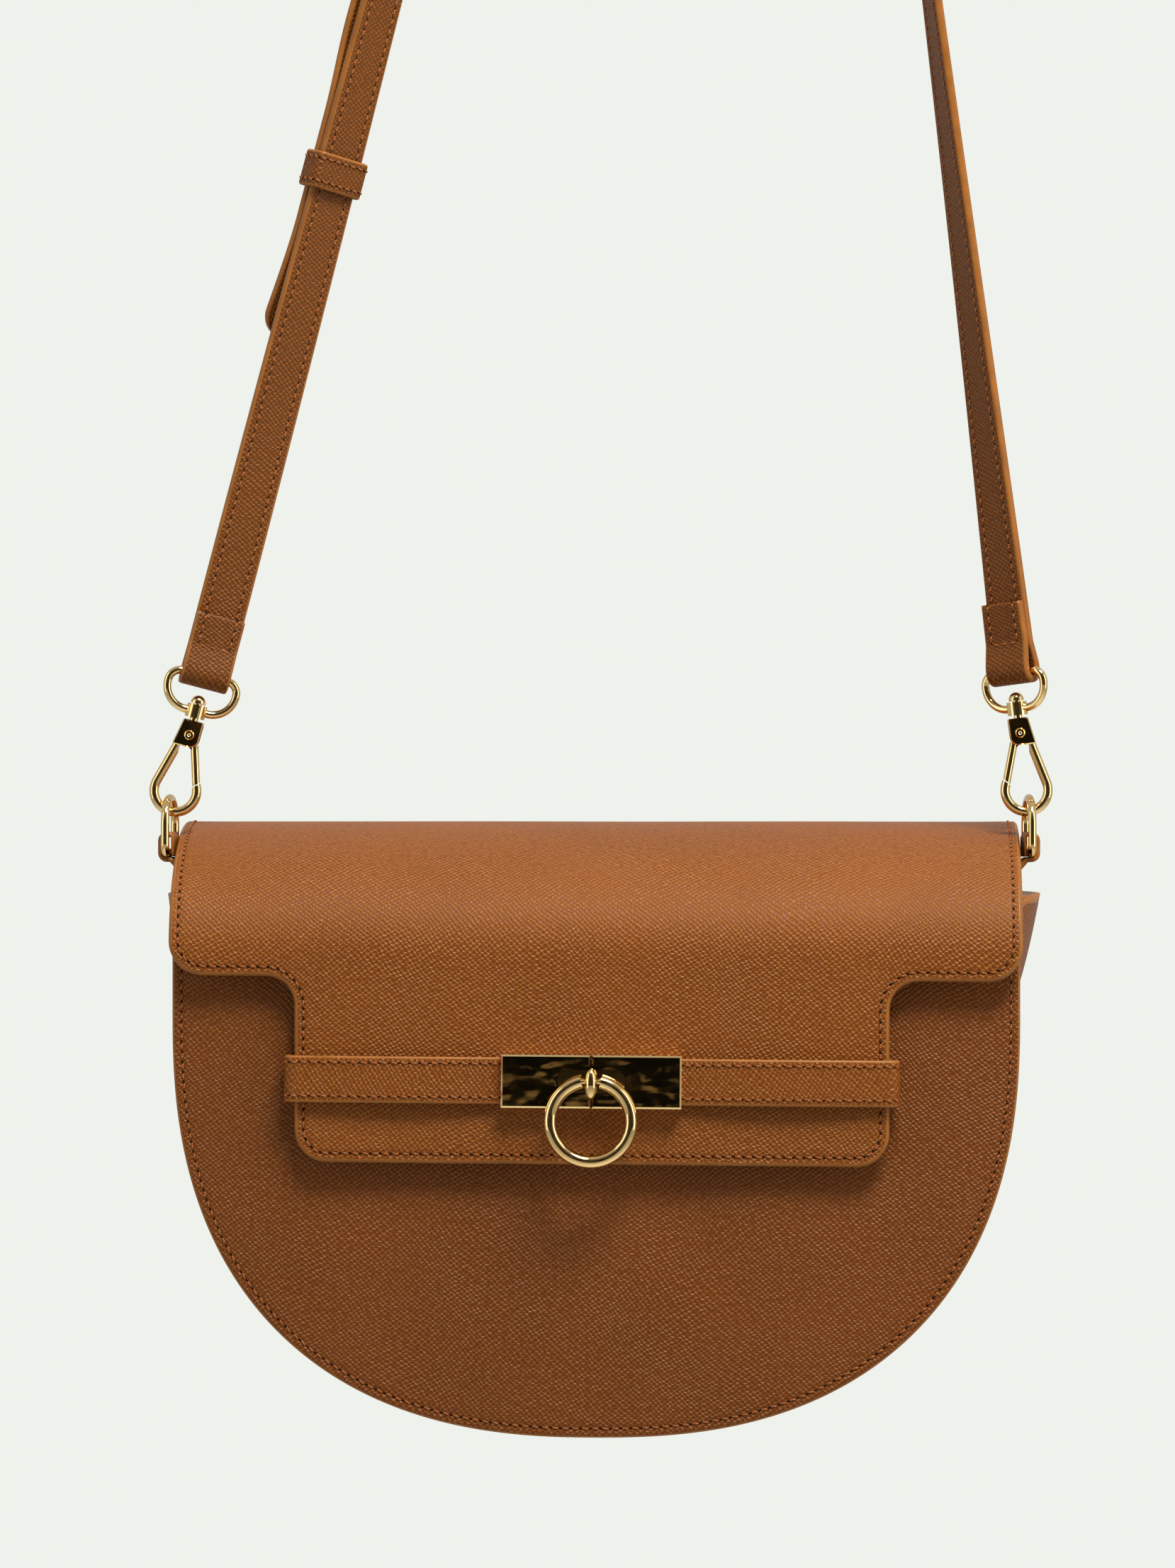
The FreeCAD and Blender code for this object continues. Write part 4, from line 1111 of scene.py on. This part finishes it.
def strap_at(side, a, b):
    """Point at a height b up a strap line and a towards its inner face, with the inner normal."""
    part = min(max(b / RUN[side], 0.0), 1.0)
    low = abs(TWIST_LOW[side])
    twist = math.radians(TWIST_TOP - (TWIST_TOP - low) * (1 - part) ** TWIST_POWER[side])
    if side == "right":
        twist = -twist
    along = up_strap(side)
    normal = Vector((math.sin(twist), -math.cos(twist), 0))
    normal = (normal - along * normal.dot(along)).normalized()
    return eye_bar(side) + along * b + normal * a, normal, along


def strap_stations(side, path):
    """Stations through (a, b) points beside one strap line."""
    made = []
    for i, (a, b) in enumerate(path):
        a0, b0 = path[max(i - 1, 0)]
        a1, b1 = path[min(i + 1, len(path) - 1)]
        centre, normal, along = strap_at(side, a, b)
        run = Vector((a1 - a0, b1 - b0)).normalized()
        ahead = (normal * run.x + along * run.y).normalized()
        across = normal.cross(along).normalized()
        out = ahead.cross(across).normalized()
        made.append((centre, across, out))
    return made


def smooth_path(corners, step=1.0):
    """Open path with rounded corners through (a, b, radius) points, evenly divided."""
    run = [Vector(corners[0][:2])]
    for i in range(1, len(corners) - 1):
        a, b, radius = corners[i]
        run += arc_corner(a, b, radius, corners[i - 1][:2], corners[i + 1][:2], 8)
    run.append(Vector(corners[-1][:2]))
    return [tuple(p) for p in even_run(run, step)]


def loop_path(up, lap, sign):
    """(a, b) points of a sewn end: from its cut end down round the bar to the main layer."""
    wide = EYE_WIRE / 2 + BAR_ROOM + STRAP_T / 2
    meet = 7.5
    corners = [(STRAP_T / 2, up + sign * lap, 0), (STRAP_T / 2, up + sign * meet, 4.0),
               (wide, up + sign * 1.4, 3.0), (wide, up - sign * wide, wide - 0.02),
               (-wide, up - sign * wide, wide - 0.02), (-wide, up + sign * 1.4, 3.0),
               (-STRAP_T / 2, up + sign * meet, 4.0), (-STRAP_T / 2, up + sign * lap, 0)]
    return smooth_path(corners, 0.8)


def long_run(a, b0, b1, step=3.0):
    count = max(1, round(abs(b1 - b0) / step))
    return [(a, b0 + (b1 - b0) * i / count) for i in range(1, count + 1)]


def ease_run(a0, a1, b0, b1, step=1.5):
    count = max(2, round(abs(b1 - b0) / step))
    made = []
    for i in range(1, count + 1):
        t = i / count
        made.append((a0 + (a1 - a0) * (3 * t * t - 2 * t ** 3), b0 + (b1 - b0) * t))
    return made


def cross_stitch(rows, side, up, sign):
    """The row across a sewn end, on both faces."""
    wide = STRAP_W / 2 - 2.4
    for face in (STRAP_T, -STRAP_T):
        centre, normal, along = strap_at(side, face * 0.96, up + sign * SEAM_UP)
        across = normal.cross(along).normalized()
        path = [centre + across * (wide * (i / 4 - 1)) for i in range(9)]
        rows.row(path, [normal * math.copysign(1, face)] * len(path))


def seams(rows, stations, ups, high):
    """Edge rows on both faces, left out where the strap bends round a bar below or above."""
    lift = STRAP_T / 2 - 0.07
    run = []
    for station, up in zip(stations + stations[-1:], ups + [-1.0]):
        if SEAM_UP <= up <= high:
            run.append(station)
            continue
        if len(run) > 3:
            strip_rows(rows, run, EDGE_ROWS, lift)
            strip_rows(rows, run, EDGE_ROWS, -lift)
        run = []


def tail_offset(up):
    """How far behind the strap line the tail lies: bowed above the keeper, peeling off below it."""
    rest = -(STRAP_T * 1.5 + TAIL_GAP)
    over = KEEPER_UP + KEEPER_TRAVEL + KEEPER_H / 2 + 2
    under = KEEPER_UP - KEEPER_TRAVEL - KEEPER_H / 2 - 1
    if up > over:
        share = (up - over) / (BUCKLE_UP - LAP["top"] - 10 - over)
        return rest - TAIL_BOW * math.sin(math.pi * min(share, 1.0)) ** 2
    if up < under:
        return rest - TAIL_PEEL * ((under - up) / (under - TAIL_TIP_UP)) ** 1.6
    return rest


def over_peg():
    """Stations over the peg, from the right strap line to the left one."""
    made = []
    radius = PEG_R + STRAP_T / 2
    turn0 = math.radians(-LEAN["right"])
    turn1 = math.pi - math.radians(LEAN["left"])
    for i in range(1, 24):
        angle = turn0 + (turn1 - turn0) * i / 24
        spoke = Vector((math.cos(angle), 0, math.sin(angle)))
        made.append((ARCH + spoke * radius, Vector((0, -1, 0)), spoke))
    return made


def run_down():
    """(a, b) points from the arch through the buckle to the tail's tip, and the tip's narrowing."""
    over = BUCKLE_ROOM + STRAP_T / 2 + 0.35
    under = -(BUCKLE_ROOM + STRAP_T * 1.5 + 0.7)
    rest = -(STRAP_T * 1.5 + TAIL_GAP)
    bar_far = BUCKLE_UP + BUCKLE_LEN
    down = [(0.0, RUN["left"])] + long_run(0.0, RUN["left"], bar_far + 22)
    down += ease_run(0.0, over, bar_far + 22, bar_far + 1.5)
    down += ease_run(over, under, bar_far - 2.0, BUCKLE_UP + 2.5, 1.0)
    down += ease_run(under, rest - 0.6, BUCKLE_UP - 3.0, BUCKLE_UP - LAP["top"] - 10)
    hanging = long_run(rest, BUCKLE_UP - LAP["top"] - 14, TAIL_TIP_UP + 7.0, 2.0)
    down += [(tail_offset(up), up) for _, up in hanging]
    tip = []
    shares = []
    for i in range(1, 11):
        angle = math.pi / 2 * i / 10
        up = TAIL_TIP_UP + 6.5 * (1 - math.sin(angle))
        tip.append((tail_offset(up), up))
        shares.append(max(0.12, math.cos(angle)))
    return down + tip, shares


def strap_pieces():
    t = STRAP_T
    low = loop_path(0.0, LAP["left"], 1)
    high = loop_path(BUCKLE_UP, LAP["top"], -1)
    short_path = low + long_run(-t / 2, LAP["left"], BUCKLE_UP - LAP["top"]) + high[::-1][1:]
    short = strap_stations("left", short_path)
    piece = strip_piece("strap_short_leather", short, STRAP_W / 2, t, "strap")
    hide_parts("strap_short")
    rows = Stitches()
    seams(rows, short, [up for _, up in short_path], BUCKLE_UP - SEAM_UP)
    cross_stitch(rows, "left", 0.0, 1)
    cross_stitch(rows, "left", BUCKLE_UP, -1)
    rows.make("strap_short_stitching", "strap")

    right_path = loop_path(0.0, LAP["right"], 1)
    right_path += ease_run(-t / 2, 0.0, LAP["right"], RUN["right"], 3.0)
    right = strap_stations("right", right_path)
    down, shares = run_down()
    left = strap_stations("left", down)
    chain = right + over_peg() + left
    chain = consistent(chain)
    widths = [1.0] * (len(chain) - len(shares)) + shares
    piece = strip_piece("strap_long_leather", chain, STRAP_W / 2, t, "strap", widths=widths)
    punch_holes(piece)
    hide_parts("strap_long")
    rows = Stitches()
    far = 1e4
    ups = [up for _, up in right_path] + [far] * (len(chain) - 9 - len(right_path))
    seams(rows, chain[:-9], ups, far)
    cross_stitch(rows, "right", 0.0, 1)
    rows.make("strap_long_stitching", "strap")


def consistent(stations):
    """Keeps neighbouring sections facing the same way."""
    made = [stations[0]]
    for centre, across, out in stations[1:]:
        if across.dot(made[-1][1]) < 0:
            across = -across
        if out.dot(made[-1][2]) < 0:
            out = -out
        made.append((centre, across, out))
    return made


def punch_holes(piece):
    """Round prong holes through the long strap, cut with cylinders."""
    middle = BUCKLE_UP + BUCKLE_LEN / 2
    work = bmesh.new()
    for k in (-3, 1, 2):
        centre, normal, along = strap_at("left", 0.0, middle + k * HOLE_PITCH)
        turn = normal.to_track_quat("Z", "Y").to_matrix().to_4x4()
        where = Matrix.Translation(spot(*centre)) @ turn
        bmesh.ops.create_cone(work, cap_ends=True, segments=24, radius1=1.5 * MM, radius2=1.5 * MM,
                              depth=24 * MM, matrix=where)
    centre, normal, along = strap_at("left", 0.0, middle)
    across = normal.cross(along).normalized()
    turn = Matrix((across, along, normal)).transposed().to_4x4()
    size = Matrix.Diagonal((2.6 * MM, PRONG_SLOT * MM, 24 * MM, 1))
    where = Matrix.Translation(spot(*centre)) @ turn @ size
    bmesh.ops.create_cube(work, size=1.0, matrix=where)
    mesh = bpy.data.meshes.new("punch")
    work.to_mesh(mesh)
    work.free()
    punch = bpy.data.objects.new("punch", mesh)
    bpy.context.scene.collection.objects.link(punch)
    cut = piece.modifiers.new("punch", "BOOLEAN")
    cut.operation = "DIFFERENCE"
    cut.solver = "EXACT"
    cut.object = punch
    bpy.context.view_layer.update()
    done = bpy.data.meshes.new_from_object(piece.evaluated_get(bpy.context.evaluated_depsgraph_get()))
    piece.modifiers.clear()
    piece.data = done
    bpy.data.objects.remove(punch)


def keeper_piece():
    """Loose leather loop round both layers of the strap."""
    wall = 1.0
    half_w = STRAP_W / 2 + 0.5 + wall / 2
    half_t = (2 * STRAP_T + TAIL_GAP) / 2 + 0.85 + wall / 2
    outline = rounded_outline([(-half_w, -half_t, 1.5), (half_w, -half_t, 1.5), (half_w, half_t, 1.5),
                               (-half_w, half_t, 1.5)], 1.5)
    centre, normal, along = strap_at("left", -(STRAP_T + TAIL_GAP / 2), KEEPER_UP)
    across = normal.cross(along).normalized()
    stations = []
    for i, p in enumerate(outline):
        ahead = (outline[(i + 1) % len(outline)] - outline[i - 1]).normalized()
        out = (across * ahead.y - normal * ahead.x).normalized()
        if out.dot(across * p.x + normal * p.y) < 0:
            out = -out
        stations.append((centre + across * p.x + normal * p.y, along, out))
    piece = strip_piece("keeper_leather", stations, KEEPER_H / 2, wall, "keeper", closed=True)
    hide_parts("keeper")
    rows = Stitches()
    strip_rows(rows, stations, (KEEPER_H / 2 - 1.8, -KEEPER_H / 2 + 1.8), wall / 2 - 0.05, 2.4, closed=True)
    rows.make("keeper_stitching", "keeper")


def tab_piece(side):
    """The D-ring's leather loop and its leg, sewn down inside the gusset."""
    out = -1 if side == "left" else 1
    turn = Matrix.Rotation(math.radians(RING_TURN[side]), 3, "Z")
    across = turn @ Vector((0, 1, 0))
    top_x = -4.0 if side == "right" else -3.5
    low_x = -5.6 if side == "right" else -7.0
    corners = [(low_x, -36.0, 0), (top_x, -20.0, 12.0), (-3.4, -12.6, 3.0), (-1.0, -9.9, 1.0),
               (1.82, -9.9, 1.7), (1.82, -3.3, 1.6), (-1.45, -3.3, 1.0), (-1.45, -9.1, 0)]
    path = smooth_path(corners, 0.5)
    stations = []
    thicks = []
    for i, (a, b) in enumerate(path):
        ahead = Vector(path[min(i + 1, len(path) - 1)]) - Vector(path[max(i - 1, 0)])
        ahead.normalize()
        outward = turn @ Vector((out * ahead.y, 0, -ahead.x))
        stations.append((Vector((RING_X[side], 0, 0)) + turn @ Vector((out * a, 0, b)), across, outward))
        inner = b > -9.2 and a < -1.0
        thicks.append(0.55 if inner else 1.0)
    piece = strip_piece("side_tab_" + side + "_leather", stations, TAB_HALF, 1.3, "bag", finish=HIDE,
                        thicks=thicks)
    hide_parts("side_tab_" + side)


# ---- finishes of the CAD nodes that stay ----

def dress_nodes():
    finishes = {"gold": GOLD, "steel": STEEL, "lining": LINING, "board": BOARD_FINISH, "leather": HIDE}
    slots = {part["node"]: part["material_slot"] for part in frame["record"]["subparts"]}
    for name, node in frame["nodes"].items():
        finish = PLATE_GOLD if name.startswith("plate_") else finishes[slots[name]]
        if not node.material_slots:
            node.data.materials.append(finish)
        for slot in node.material_slots:
            slot.material = finish


# ---- stage ----

def place_camera():
    """Almost square to the front, a little to the right, level with the D-rings."""
    target = spot(-2.1, FRONT, 9.9)
    turn = math.radians(1.6)
    away = Vector((math.sin(turn), -math.cos(turn), 0)) * 1.95
    data = bpy.data.cameras.new("camera")
    data.lens = 173.0
    data.sensor_width = 36.0
    data.clip_end = 50.0
    camera = bpy.data.objects.new("camera", data)
    camera.location = target + away
    camera.rotation_euler = (-away).to_track_quat("-Z", "Y").to_euler()
    bpy.context.scene.collection.objects.link(camera)
    bpy.context.scene.camera = camera


def softbox(name, where, aim, size, power, colour=(1, 1, 1)):
    data = bpy.data.lights.new(name, "AREA")
    data.shape = "RECTANGLE"
    data.size, data.size_y = size
    data.energy = power
    data.color = colour
    lamp = bpy.data.objects.new(name, data)
    lamp.location = spot(*where)
    lamp.rotation_euler = (spot(*aim) - lamp.location).to_track_quat("-Z", "Y").to_euler()
    bpy.context.scene.collection.objects.link(lamp)


def build_stage():
    bpy.context.scene.view_settings.view_transform = "Standard"
    world = bpy.data.worlds.new("studio")
    bpy.context.scene.world = world
    world.use_nodes = True
    g = Graph(world.node_tree)
    seen = g.node("ShaderNodeBackground")
    seen.inputs["Color"].default_value = rgb("EFF2EC")
    lit = g.node("ShaderNodeBackground")
    where = g.node("ShaderNodeTexCoord").outputs["Generated"]
    parts = g.node("ShaderNodeSeparateXYZ")
    g.link(where, parts.inputs[0])
    front = g.ramp(parts.outputs[1], -0.97, -0.25, 0.0, 0.52)
    streak = g.noise(g.vector("MULTIPLY", where, (1.0, 1.0, 0.35)), 42.0, 2.0)[0]
    patch = g.mix(g.ramp(streak, 0.48, 0.72), (0.004, 0.004, 0.003, 1), (0.22, 0.16, 0.09, 1))
    g.link(g.mix(front, patch, (1.0, 0.99, 0.97, 1)), lit.inputs["Color"])
    lit.inputs["Strength"].default_value = 1.0
    choose = g.node("ShaderNodeMixShader")
    g.link(g.node("ShaderNodeLightPath").outputs["Is Camera Ray"], choose.inputs[0])
    g.link(lit.outputs[0], choose.inputs[1])
    g.link(seen.outputs[0], choose.inputs[2])
    output = g.node("ShaderNodeOutputWorld")
    g.link(choose.outputs[0], output.inputs[0])
    softbox("key", (420, -760, 1400), (0, 0, -60), (0.7, 0.45), 40)
    softbox("left_box", (-1300, -700, 300), (0, 0, -60), (0.6, 1.5), 4)
    softbox("right_box", (1300, -600, 300), (0, 0, -60), (0.6, 1.5), 6)
    made = bpy.data.meshes.new("floor")
    work = bmesh.new()
    bmesh.ops.create_circle(work, cap_ends=True, segments=96, radius=9.0)
    work.to_mesh(made)
    work.free()
    floor = bpy.data.objects.new("floor", made)
    floor.location = spot(0, 0, -1250)
    finish, _, shader = material("pale_floor")
    shader.inputs["Base Color"].default_value = (0.84, 0.85, 0.81, 1)
    shader.inputs["Roughness"].default_value = 0.7
    made.materials.append(finish)
    bpy.context.scene.collection.objects.link(floor)


place_camera()
build_stage()
dress_nodes()
panel_piece("front_panel_leather", "front_panel", FRONT, -1, FRONT_TOP, "bag")
panel_piece("back_panel_leather", "back_panel", BACK, 1, BACK_TOP, "bag")
gusset_piece()
gusset_lining_piece()
flap_pieces()
root_piece()
for part_side in ("left", "right"):
    belt_piece(part_side)
    tab_piece(part_side)
strap_pieces()
keeper_piece()
